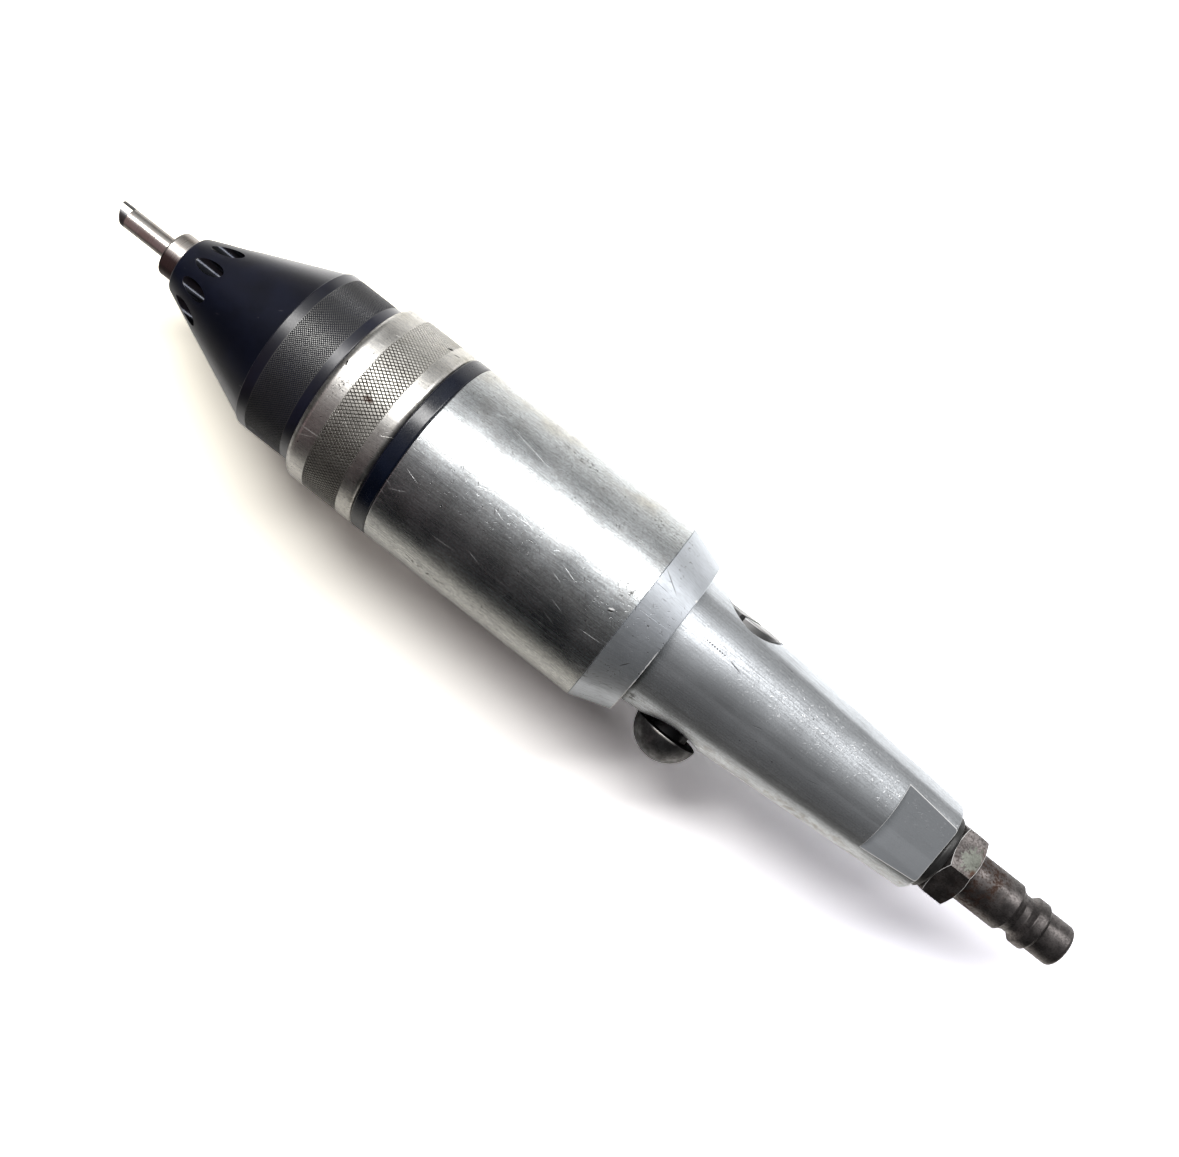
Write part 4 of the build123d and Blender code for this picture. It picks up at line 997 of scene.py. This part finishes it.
def floor_white(name):
    """Pale table top, evenly bright to the camera but for a painted shadow beside where the housing rests; in
    reflections it is painted lit on the light's side, painted shade on the far side, and darker further off.
    """
    m = Finish(name)
    off = m.math("ABSOLUTE", m.y)
    warm = m.span(m.x, -130.0, 90.0, smooth=False)
    seen = m.mix(warm, (2.2, 2.2, 2.36), (2.30, 2.22, 1.94))
    # A painted shadow on the floor beside where the housing rests.
    painted_contact_shadow = m.times(m.zone(m.y, 24.0, 29.0, 3.5), m.zone(m.x, -46.0, 14.0, 10.0))
    seen = m.mix(m.times(painted_contact_shadow, 0.55), seen, BLACK)
    # In reflections: painted shade on the far side, lighter below the handle, painted light on the light's
    # side, darker further off and ahead of the nose.
    painted_shade_side = m.mix(m.span(m.x, -72.0, -44.0), (1.60, 1.55, 1.45), (0.76, 0.75, 0.71))
    painted_shade_side = m.mix(m.span(m.x, 52.0, 70.0), painted_shade_side, (0.85, 0.84, 0.82))
    lit = m.mix(m.span(m.y, -26.0, -62.0), (1.55, 1.55, 1.53), (0.98, 0.98, 0.97))
    m.shade = m.mix(m.span(m.y, -20.0, 20.0), lit, painted_shade_side)
    m.tint(m.span(off, 55.0, 120.0), BLACK, 0.30)
    m.tint(m.span(off, 110.0, 260.0), BLACK, 0.55)
    m.tint(m.times(m.span(m.x, 95.0, 130.0), m.span(off, 45.0, 85.0)), (0.29, 0.28, 0.27))
    m.tint(m.span(m.x, 96.0, 118.0), BLACK, 0.5)
    is_seen = m.add("ShaderNodeLightPath").outputs["Is Camera Ray"]
    paper = m.add("ShaderNodeBsdfDiffuse", {"Color": m.mix(is_seen, m.shade, seen)})
    m.add("ShaderNodeOutputMaterial", {0: paper.outputs[0]})
    return m.material


# Properties, operators and panel


class AirRouterProperties(bpy.types.PropertyGroup):
    """Sizes and colours of the finished pieces."""

    segments: IntProperty(name="Segments", description="Facets around the plain turned pieces", default=256)
    clamp_diamonds: IntProperty(
        name="Clamp ring diamonds", description="Knurl diamonds around the clamp ring", default=162
    )
    clamp_rows: IntProperty(
        name="Clamp ring rows", description="Knurl diamonds along the clamp ring", default=7
    )
    clamp_depth: FloatProperty(
        name="Clamp ring knurl depth",
        description="Depth of the clamp ring's grooves",
        default=0.00034,
        unit="LENGTH",
    )
    grip_diamonds: IntProperty(
        name="Grip diamonds", description="Knurl diamonds around the grip band", default=221
    )
    grip_rows: IntProperty(name="Grip rows", description="Knurl diamonds along the grip band", default=17)
    grip_depth: FloatProperty(
        name="Grip knurl depth", description="Depth of the grip's grooves", default=0.00013, unit="LENGTH"
    )
    hole_count: IntProperty(name="Holes", description="Exhaust holes around the nose cone", default=11)
    hole_diameter: FloatProperty(
        name="Hole diameter", description="Width of the exhaust holes", default=0.0035, unit="LENGTH"
    )
    hole_phase: FloatProperty(
        name="Hole phase",
        description="Turn of the first exhaust hole from the top",
        default=math.radians(18.2),
        subtype="ANGLE",
    )
    aluminium: FloatVectorProperty(
        name="Aluminium", description="Motor housing", default=(0.92, 0.97, 0.99), subtype="COLOR"
    )
    clamp_metal: FloatVectorProperty(
        name="Clamp metal", description="Clamp ring", default=(0.98, 0.96, 0.91), subtype="COLOR"
    )
    handle_grey: FloatVectorProperty(
        name="Handle grey", description="Satin handle", default=(0.90, 0.945, 0.995), subtype="COLOR"
    )
    nose_black: FloatVectorProperty(
        name="Nose black", description="Nose cone and grip", default=(0.0028, 0.0037, 0.0105), subtype="COLOR"
    )
    band_black: FloatVectorProperty(
        name="Band black", description="Joint ring", default=(0.0018, 0.0035, 0.010), subtype="COLOR"
    )
    cutter_steel: FloatVectorProperty(
        name="Cutter steel", description="Router bit and nut", default=(0.74, 0.70, 0.66), subtype="COLOR"
    )
    button_grey: FloatVectorProperty(
        name="Button grey", description="Throttle button", default=(0.20, 0.20, 0.205), subtype="COLOR"
    )
    cap_grey: FloatVectorProperty(
        name="Cap grey", description="Throttle cap", default=(0.42, 0.42, 0.42), subtype="COLOR"
    )
    plug_dark: FloatVectorProperty(
        name="Plug dark", description="Air nipple", default=(0.072, 0.066, 0.065), subtype="COLOR"
    )
    rust: FloatVectorProperty(
        name="Rust", description="Rust on the air nipple", default=(0.055, 0.026, 0.016), subtype="COLOR"
    )
    rubber: FloatVectorProperty(
        name="Rubber", description="Washer and seals", default=(0.012, 0.012, 0.012), subtype="COLOR"
    )


class AIRROUTER_OT_stage(bpy.types.Operator):
    """Sets the camera, the pale floor, the soft light and the surroundings"""

    bl_idname = "airrouter.stage"
    bl_label = "Stage"
    bl_options = {"REGISTER", "UNDO"}

    def execute(self, context):
        scene = context.scene
        scene.view_settings.view_transform = "Standard"
        self.camera(scene)
        self.floor()
        self.softbox(scene)
        self.surroundings(scene)
        return {"FINISHED"}

    def camera(self, scene):
        forward = (CAMERA_TARGET - CAMERA_PLACE).normalized()
        along = Vector((1, 0, 0))
        along = (along - along.dot(forward) * forward).normalized()
        across = (-forward).cross(along)
        # The tool lies across the picture, cutter to the upper left.
        lean = math.radians(CAMERA_LEAN)
        right = -math.cos(lean) * along - math.sin(lean) * across
        up = math.sin(lean) * along - math.cos(lean) * across
        matrix = Matrix((right, up, -forward)).transposed().to_4x4()
        matrix.translation = CAMERA_PLACE
        camera = bpy.data.objects.new("camera", bpy.data.cameras.new("camera"))
        camera.data.lens = CAMERA_LENS
        camera.data.sensor_width = 36
        camera.data.clip_start = 0.01
        camera.matrix_world = matrix
        scene.collection.objects.link(camera)
        scene.camera = camera

    def floor(self):
        half, gap = 0.8, 0.0001
        height = -BODY_RADIUS * MM - gap
        mesh = bpy.data.meshes.new("floor")
        corners = ((-half, -half), (half, -half), (half, half), (-half, half))
        mesh.from_pydata([(x, y, height) for x, y in corners], [], [range(4)])
        mesh.materials.append(floor_white("floor_white"))
        new_object("floor", mesh)

    def softbox(self, scene):
        light = bpy.data.lights.new("softbox", "AREA")
        light.shape = "RECTANGLE"
        light.size = 3.0
        light.size_y = 0.36
        light.energy = 40
        light.color = (1.0, 0.99, 0.975)
        lamp = bpy.data.objects.new("softbox", light)
        # It stands over the upper right of the picture, level with the picture's top edge.
        level = Vector((-0.787, -0.617, 0))
        aside, height, shift = 0.82, 1.2, 1.1
        over = Vector((-level.y, level.x, 0)) * aside + Vector((0, 0, height))
        back = over.normalized()
        lamp.matrix_world = Matrix((level, back.cross(level), back)).transposed().to_4x4()
        lamp.location = over + level * shift
        lamp.visible_camera = False
        scene.collection.objects.link(lamp)

    def surroundings(self, scene):
        world = bpy.data.worlds.new("studio")
        world.use_nodes = True
        made = Tree(world.node_tree)
        world.node_tree.nodes.clear()
        direction = made.add("ShaderNodeTexCoord").outputs["Generated"]
        x, y, z = made.separate(direction)
        angle = made.times(made.math("ARCTAN2", y, z), 1 / TURN)
        ramp = made.add("ShaderNodeValToRGB", {0: made.plus(angle, 0.5)})
        tones = (
            (0.25, (0.21, 0.21, 0.21)),
            (0.28, (0.37, 0.37, 0.37)),
            (0.32, (0.47, 0.47, 0.47)),
            (0.44, (0.36, 0.36, 0.365)),
            (0.48, (0.28, 0.28, 0.285)),
            (0.517, (0.163, 0.163, 0.166)),
            (0.55, (0.102, 0.101, 0.100)),
            (0.583, (0.078, 0.076, 0.075)),
            (0.62, (0.020, 0.022, 0.023)),
            (0.66, (0.0090, 0.0105, 0.0115)),
            (0.73, (0.0070, 0.0085, 0.0095)),
            (0.77, (0.025, 0.024, 0.023)),
        )
        stops = ramp.color_ramp.elements
        for index, (place, tone) in enumerate(tones):
            stop = stops[index] if index < 2 else stops.new(place)
            stop.position = place
            stop.color = (*tone, 1)
        forward = made.times(made.math("ARCSINE", x), math.degrees(1))
        # Dimmer beyond both ends of the tool, with a warm reflection ahead of the nose.
        away = made.math("ABSOLUTE", made.plus(forward, -2.0))
        tone = made.mix(made.span(away, 12.0, 40.0, 0.0, 0.72), ramp.outputs[0], BLACK)
        ahead = self.glow(made, forward, 27.0, 5.5)
        ahead = made.times(ahead, self.glow(made, made.times(angle, 360), 36.0, 53.0))
        tone = made.mix(ahead, tone, (0.365, 0.255, 0.265))
        room = made.add("ShaderNodeBackground", {0: tone, 1: 1.0}).outputs[0]
        backdrop = made.add("ShaderNodeBackground", {0: (1, 1, 1, 1), 1: 1.0}).outputs[0]
        seen = made.add("ShaderNodeLightPath").outputs["Is Camera Ray"]
        both = made.add("ShaderNodeMixShader", {0: seen, 1: room, 2: backdrop}).outputs[0]
        made.add("ShaderNodeOutputWorld", {0: both})
        scene.world = world

    def glow(self, made, angle, middle, half):
        """1 about an angle, falling to 0 past half a width to either side, in degrees."""
        away = made.math("ABSOLUTE", made.plus(angle, -middle))
        return made.span(away, 0.6 * half, 1.2 * half, 1.0, 0.0)


class AIRROUTER_OT_cutter(bpy.types.Operator):
    """Makes the router bit and the collet nut"""

    bl_idname = "airrouter.cutter"
    bl_label = "Cutter and nut"
    bl_options = {"REGISTER", "UNDO"}

    def execute(self, context):
        props = context.scene.air_router
        steel = polished_steel("cutter_steel", props.cutter_steel)
        profile = rounded(
            (X_BIT_REAR, 0),
            (X_BIT_REAR, BIT_RADIUS, 0.3),
            (X_BIT_TIP, BIT_RADIUS, 0.1),
            (X_BIT_TIP, 0),
            closed=False,
        )
        bit = turned("router_bit_polished", profile, steel, 96)
        fork_turn = Matrix.Rotation(math.radians(6), 4, "X")
        thin, gap, reach = 0.75, 1.3, 6.0
        x_fork, y_low = X_BIT_TIP - FORK_DEPTH, thin - BIT_RADIUS
        fork = block((x_fork, y_low, -reach), (X_BIT_TIP + reach, y_low + gap, reach))
        mill(bit, fork, steel, matrix=fork_turn)
        rake = block((0, -4 * reach, -reach), (reach, 4 * reach, reach))
        tip = Matrix.Translation((X_BIT_TIP * MM, -BIT_RADIUS * MM, 0))
        mill(bit, rake, steel, matrix=fork_turn @ tip @ Matrix.Rotation(math.radians(25), 4, "Z"))
        soften = 0.06, lambda spot: spot.x > x_fork + 0.1
        finish_piece(bit, "router_bit", ["router_bit"], soften=soften)
        thread, seat, mouth, flat = 4.5, 3.97, 3.37, 4.9
        x_seat, x_cone, x_mouth = 98.3, 100.9, 101.5
        profile = rounded(
            (X_NUT_REAR, thread),
            (x_seat, thread),
            (x_seat, seat),
            (x_cone, seat),
            (x_mouth, mouth),
            (X_NUT_FRONT, mouth, 0.2),
            (X_NUT_FRONT, NUT_RADIUS, 0.55),
            (X_NUT_REAR, NUT_RADIUS, 0.2),
        )
        nut = turned("collet_nut_polished", profile, steel, 128)
        mill(nut, block((X_NUT_REAR - 1, -9, flat), (X_NUT_REAR + 5, 9, 9)), steel, 2)
        finish_piece(nut, "collet_nut", ["collet_nut"])
        return {"FINISHED"}


class AIRROUTER_OT_nose(bpy.types.Operator):
    """Makes the vented nose cone and its knurled grip band"""

    bl_idname = "airrouter.nose"
    bl_label = "Nose cone and grip"
    bl_options = {"REGISTER", "UNDO"}

    def execute(self, context):
        props = context.scene.air_router
        x_grip_front = X_GRIP_REAR + 15.0
        base, tip, thread, bore, wall, nose_wall = GRIP_RADIUS - 0.3, 7.3, 17.5, 6.2, 2.1, 3.8
        slope = (base - tip) / (X_NOSE - x_grip_front)
        black = nose_black("nose_black", props.nose_black, tip, slope)
        profile = rounded(
            (x_grip_front, thread),
            (x_grip_front, base),
            (X_NOSE, tip, 0.85),
            (X_NOSE, bore, 0.15),
            (X_NOSE - (bore + nose_wall - tip) / slope, bore),
            (X_NOSE - (thread + wall - tip) / slope, thread),
        )
        cone = turned("nose_cone_vented", profile, black, 320)
        drill = self.drill(X_NOSE - 28.0, X_NOSE + 2.0, tip + 3.3, props.hole_diameter / (2 * MM))
        mill(cone, drill, black, props.hole_count, math.degrees(props.hole_phase))
        finish_piece(cone, "body", ["nose_cone"])
        worn = grip_black("grip_black", props.nose_black, props.grip_depth / MM)
        profile = rounded(
            (GRIP_BAND[1], GRIP_RADIUS),
            (x_grip_front, GRIP_RADIUS, 0.25),
            (x_grip_front, thread),
            (X_GRIP_REAR, thread),
            (X_GRIP_REAR, GRIP_RADIUS, 0.4),
            (GRIP_BAND[0], GRIP_RADIUS),
            closed=False,
        )
        grip = knurled(
            "grip_band_knurled",
            profile,
            worn,
            GRIP_BAND,
            GRIP_RADIUS,
            props.grip_depth,
            worn_top=0.5,
            diamonds=props.grip_diamonds,
            rows=props.grip_rows,
            steps=4,
        )
        finish_piece(grip, "body", ["nose_cone"])
        return {"FINISHED"}

    def drill(self, x_low, x_high, middle, radius, steps=56):
        """One drill along the spindle, at a distance from its axis."""
        rings = []
        for x in (x_low, x_high):
            turns = [TURN * step / steps for step in range(steps)]
            ring = [(x, radius * math.sin(turn), middle + radius * math.cos(turn)) for turn in turns]
            rings.append([Vector(spot) * MM for spot in ring])
        return loft(rings)


class AIRROUTER_OT_rings(bpy.types.Operator):
    """Makes the knurled clamp ring and the smooth joint ring"""

    bl_idname = "airrouter.rings"
    bl_label = "Clamp ring and joint ring"
    bl_options = {"REGISTER", "UNDO"}

    def execute(self, context):
        props = context.scene.air_router
        inner, lip = 20.5, 17.8
        x_lip = X_CLAMP_FRONT - 2.1
        bright = clamp_aluminium("clamp_ring_aluminium", props.clamp_metal, props.clamp_depth / MM)
        profile = rounded(
            (CLAMP_BAND[1], BODY_RADIUS),
            (X_CLAMP_FRONT, BODY_RADIUS, 2.0),
            (X_CLAMP_FRONT, lip, 0.2),
            (x_lip, lip),
            (x_lip, inner),
            (X_CLAMP_REAR, inner),
            (X_CLAMP_REAR, BODY_RADIUS, 1.2),
            (CLAMP_BAND[0], BODY_RADIUS),
            closed=False,
        )
        ring = knurled(
            "clamp_ring_knurled",
            profile,
            bright,
            CLAMP_BAND,
            BODY_RADIUS,
            props.clamp_depth,
            worn_top=0.33,
            diamonds=props.clamp_diamonds,
            rows=props.clamp_rows,
            steps=6,
        )
        finish_piece(ring, "body", ["clamp_ring"])
        band = close_black(black_anodised("band_black", props.band_black, 0.19, 1.62, 0.0))
        profile = rounded(
            (X_BODY_FRONT, inner),
            (X_BODY_FRONT, BODY_RADIUS, 0.4),
            (X_CLAMP_REAR, BODY_RADIUS, 0.4),
            (X_CLAMP_REAR, inner),
        )
        ring = turned("joint_ring_gloss", profile, band, props.segments)
        finish_piece(ring, "body", ["joint_ring"])
        return {"FINISHED"}


class AIRROUTER_OT_housing(bpy.types.Operator):
    """Makes the motor housing with its tapered shoulder"""

    bl_idname = "airrouter.housing"
    bl_label = "Motor housing"
    bl_options = {"REGISTER", "UNDO"}

    def execute(self, context):
        props = context.scene.air_router
        bright = housing_aluminium("housing_aluminium", props.aluminium)
        thread, spigot, bore, seat, taper_end = 16.5, 20.4, 18.5, 16.1, 20.0
        x_seat, x_thread = -24.0, -25.5
        # A fine groove marks where the taper starts.
        half, deep = 0.12, 0.16
        profile = rounded(
            (X_SHOULDER, thread),
            (X_SHOULDER, taper_end, 0.25),
            (X_BODY_REAR - half, BODY_RADIUS - 0.04),
            (X_BODY_REAR, BODY_RADIUS - deep),
            (X_BODY_REAR + half, BODY_RADIUS),
            (X_BODY_REAR + 0.5, BODY_RADIUS),
            (X_BODY_FRONT, BODY_RADIUS, 0.4),
            (X_BODY_FRONT, spigot),
            (X_SPIGOT_END, spigot),
            (X_SPIGOT_END, bore),
            (x_seat, bore),
            (x_seat, seat),
            (x_thread, seat),
            (x_thread, thread),
        )
        housing = turned("motor_housing_bright", profile, bright, props.segments)
        finish_piece(housing, "body", ["motor_housing"])
        return {"FINISHED"}


class AIRROUTER_OT_handle(bpy.types.Operator):
    """Makes the tapered handle with its wrench flats and throttle bore"""

    bl_idname = "airrouter.handle"
    bl_label = "Handle"
    bl_options = {"REGISTER", "UNDO"}

    def execute(self, context):
        props = context.scene.air_router
        satin = handle_aluminium("handle_satin", props.handle_grey)
        spigot, groove, root, end = 16.4, 14.85, 16.75, 11.55
        x_seal, half_groove = X_SHOULDER + 6.4, 0.85
        thread, inlet, outlet, throat = 6.6, 5.2, 5.0, 2.5
        x_outlet, x_inlet, x_thread = X_THROTTLE + 9, X_THROTTLE - 9, X_HANDLE_END + 12.5
        slope = (end - root) / (X_SHOULDER - X_HANDLE_END)
        rings = (x_outlet, x_inlet, -70.0, -80.0, -90.0, X_FLAT_FRONT + 0.5)
        profile = rounded(
            (X_HANDLE_FRONT, outlet),
            (X_HANDLE_FRONT, spigot, 0.3),
            (x_seal + half_groove, spigot),
            (x_seal + half_groove, groove),
            (x_seal - half_groove, groove),
            (x_seal - half_groove, spigot),
            (X_SHOULDER, spigot),
            (X_SHOULDER, root),
            *[(x, root + slope * (X_SHOULDER - x)) for x in rings],
            (X_HANDLE_END, end, 0.7),
            (X_HANDLE_END, thread),
            (x_thread, thread),
            (x_thread, inlet),
            (x_inlet, inlet),
            (x_inlet, throat),
            (x_outlet, throat),
            (x_outlet, outlet),
        )
        handle = turned("handle_satin", profile, satin, 240)
        reach = 30.0
        flats = block((X_HANDLE_END - reach, -reach, FLAT_OUT), (X_FLAT_FRONT, reach, reach))
        mill(handle, flats, satin, 2)
        floor, bore, head, steps = 10.6, 5.04, BUTTON_RADIUS + 0.4, 96
        for side in (1, -1):
            rings = []
            for y, radius in ((0, bore), (floor, bore), (floor, head), (reach, head)):
                ring = []
                for step in range(steps):
                    angle = TURN * (step + 0.5) / steps
                    ring.append((X_THROTTLE + radius * math.cos(angle), side * y, radius * math.sin(angle)))
                rings.append([Vector(spot) * MM for spot in ring])
            mill(handle, loft(rings), satin)
        soften = 0.09, self.outside
        finish_piece(handle, "body", ["handle"], soften=soften)
        return {"FINISHED"}

    def outside(self, spot):
        """Edges of the flats, the counterbores and the tail, and none of the bores."""
        at_throttle = spot.x < X_SHOULDER - 2 and abs(spot.x - X_THROTTLE) < 9.5
        at_tail = spot.x < X_FLAT_FRONT + 0.9
        return math.hypot(spot.y, spot.z) > FLAT_OUT - 0.1 and (at_throttle or at_tail)


class AIRROUTER_OT_throttle(bpy.types.Operator):
    """Makes the throttle button and the slotted cap at its other end"""

    bl_idname = "airrouter.throttle"
    bl_label = "Throttle button and cap"
    bl_options = {"REGISTER", "UNDO"}

    def execute(self, context):
        props = context.scene.air_router
        stub, stub_length = 2.55, 2.45
        steel = button_steel("button_steel", props.button_grey)
        y_rim = Y_BUTTON_BASE + 0.6
        profile = rounded(
            *dome(BUTTON_RADIUS, y_rim, Y_BUTTON_TOP),
            (y_rim, BUTTON_RADIUS),
            (Y_BUTTON_BASE, BUTTON_RADIUS, 0.25),
            (Y_BUTTON_BASE, stub),
            (Y_BUTTON_BASE + stub_length, stub),
            (Y_BUTTON_BASE + stub_length, 0),
            closed=False,
        )
        button = turned("throttle_button_dome", profile, steel, 128)
        finish_piece(button, "throttle", ["throttle_button"], ACROSS)
        grey = cap_steel("cap_steel", props.cap_grey)
        profile = rounded(
            (Y_CAP_OUTSIDE, 0),
            (Y_CAP_OUTSIDE, CAP_RADIUS, 0.4),
            (Y_CAP_INSIDE, CAP_RADIUS, 0.2),
            (Y_CAP_INSIDE, stub),
            (Y_CAP_INSIDE - stub_length, stub),
            (Y_CAP_INSIDE - stub_length, 0),
            closed=False,
        )
        cap = turned("throttle_cap_slotted", profile, grey, 128)
        deep, reach = 1.6, 10
        slot = block(
            (Y_CAP_OUTSIDE - deep, -CAP_SLOT_HALF, -reach),
            (Y_CAP_OUTSIDE + deep, CAP_SLOT_HALF, reach),
        )
        mill(cap, slot, grey, phase=CAP_SLOT_TURN)
        finish_piece(cap, "throttle", ["throttle_cap"], ACROSS)
        return {"FINISHED"}


class AIRROUTER_OT_inlet(bpy.types.Operator):
    """Makes the air nipple with its hexagon, and the washer between it and the handle"""

    bl_idname = "airrouter.inlet"
    bl_label = "Air nipple and washer"
    bl_options = {"REGISTER", "UNDO"}

    def execute(self, context):
        props = context.scene.air_router
        rubber = seal_rubber("washer_rubber", props.rubber)
        hole = 6.6
        profile = rounded(
            (X_HEX_FRONT, hole),
            (X_HEX_FRONT, WASHER_RADIUS, 0.9),
            (X_HANDLE_END, WASHER_RADIUS, 0.9),
            (X_HANDLE_END, hole),
        )
        washer = turned("inlet_washer_round", profile, rubber, 128)
        finish_piece(washer, "body", ["inlet_washer"])
        steel = plug_steel("plug_steel", props.plug_dark, props.rust)
        bore, thread, flat, plug, groove, tip, bevel = 3.75, 6.5, 8.5, 6.0, 4.8, 5.15, 0.7
        corner = flat / math.cos(math.radians(30))
        run_back = (corner - flat) * math.tan(math.radians(30))
        x_groove = X_HEX_REAR - 13.2
        x_collar = x_groove - 3.3
        x_tip = x_collar - 3.9
        profile = rounded(
            (X_NIPPLE_FRONT, bore),
            (X_NIPPLE_FRONT, thread, 0.4),
            (X_HEX_FRONT, thread),
            (X_HEX_FRONT, flat),
            (X_HEX_FRONT - run_back, corner),
            (X_HEX_REAR + run_back, corner),
            (X_HEX_REAR, flat),
            (X_HEX_REAR, plug, 0.4),
            (x_groove + bevel, plug, 0.3),
            (x_groove, plug - bevel, 0.3),
            (x_groove - 1.2, groove, 0.3),
            (x_collar + 0.6, groove, 0.3),
            (x_collar, plug - bevel, 0.3),
            (x_collar - bevel, plug, 0.3),
            (x_tip + bevel, plug, 0.3),
            (x_tip, tip, 0.2),
            (X_PLUG_END, tip, 1.1),
            (X_PLUG_END, bore, 0.2),
        )
        nipple = turned("inlet_nipple_plug", profile, steel, 192)
        side = block((X_HEX_REAR - 0.5, -12, flat), (X_HEX_FRONT + 0.5, 12, 20))
        mill(nipple, side, steel, 6, 33.0)

        def on_hexagon(spot):
            along = X_HEX_REAR - 0.2 < spot.x < X_HEX_FRONT + 0.2
            return along and math.hypot(spot.y, spot.z) > flat - 0.3

        finish_piece(nipple, "body", ["inlet_nipple"], soften=(0.06, on_hexagon))
        return {"FINISHED"}


class AIRROUTER_OT_inner_works(bpy.types.Operator):
    """Finishes the pieces that stay as the frame has them"""

    bl_idname = "airrouter.inner_works"
    bl_label = "Inner works"
    bl_options = {"REGISTER", "UNDO"}

    def execute(self, context):
        props = context.scene.air_router
        finishes = {
            "inner_aluminium": ground_metal("inner_aluminium", (0.40, 0.40, 0.42), 0.45),
            "tool_steel": ground_metal("tool_steel", (0.42, 0.42, 0.42), 0.30, 3.0),
            "bearing_steel": ground_metal("bearing_steel", (0.62, 0.62, 0.62), 0.16, 4.0),
            "cage_brass": ground_metal("cage_brass", (0.62, 0.45, 0.18), 0.34),
            "motor_iron": ground_metal("motor_iron", (0.22, 0.22, 0.22), 0.45),
            "vane_fibre": ground_metal("vane_fibre", (0.22, 0.12, 0.06), 0.65, 3.0, 0.0),
            "seal_rubber": seal_rubber("seal_rubber", props.rubber),
        }
        # The spool is painted dark: painted shade where it shows below the button.
        painted_shade_finishes = {"throttle_spool": ground_metal("spool_steel", (0.05, 0.05, 0.052), 0.40, 3.0)}
        for row in frame["record"]["subparts"]:
            node = frame["nodes"][row["node"]]
            if node.hide_render:
                continue
            finish = painted_shade_finishes.get(row["node"]) or finishes.get(row["material_slot"])
            if finish is None:
                raise RuntimeError(f"no finish for {row['node']}")
            node.data.materials.clear()
            node.data.materials.append(finish)
        return {"FINISHED"}


OPERATORS = (
    AIRROUTER_OT_stage,
    AIRROUTER_OT_cutter,
    AIRROUTER_OT_nose,
    AIRROUTER_OT_rings,
    AIRROUTER_OT_housing,
    AIRROUTER_OT_handle,
    AIRROUTER_OT_throttle,
    AIRROUTER_OT_inlet,
    AIRROUTER_OT_inner_works,
)


class AIRROUTER_PT_panel(bpy.types.Panel):
    """Lists the air router's pieces"""

    bl_idname = "AIRROUTER_PT_panel"
    bl_label = "Air router"
    bl_space_type = "VIEW_3D"
    bl_region_type = "UI"
    bl_category = "Air router"

    def draw(self, context):
        for name in AirRouterProperties.__annotations__:
            self.layout.prop(context.scene.air_router, name)
        for operator in OPERATORS:
            self.layout.operator(operator.bl_idname)


CLASSES = (AirRouterProperties, *OPERATORS, AIRROUTER_PT_panel)


def register():
    for item in CLASSES:
        bpy.utils.register_class(item)
    bpy.types.Scene.air_router = PointerProperty(type=AirRouterProperties)


def unregister():
    del bpy.types.Scene.air_router
    for item in reversed(CLASSES):
        bpy.utils.unregister_class(item)


def main():
    register()
    bpy.ops.airrouter.stage()
    bpy.ops.airrouter.cutter()
    bpy.ops.airrouter.nose()
    bpy.ops.airrouter.rings()
    bpy.ops.airrouter.housing()
    bpy.ops.airrouter.handle()
    bpy.ops.airrouter.throttle()
    bpy.ops.airrouter.inlet()
    bpy.ops.airrouter.inner_works()


if __name__ == "__main__":
    main()
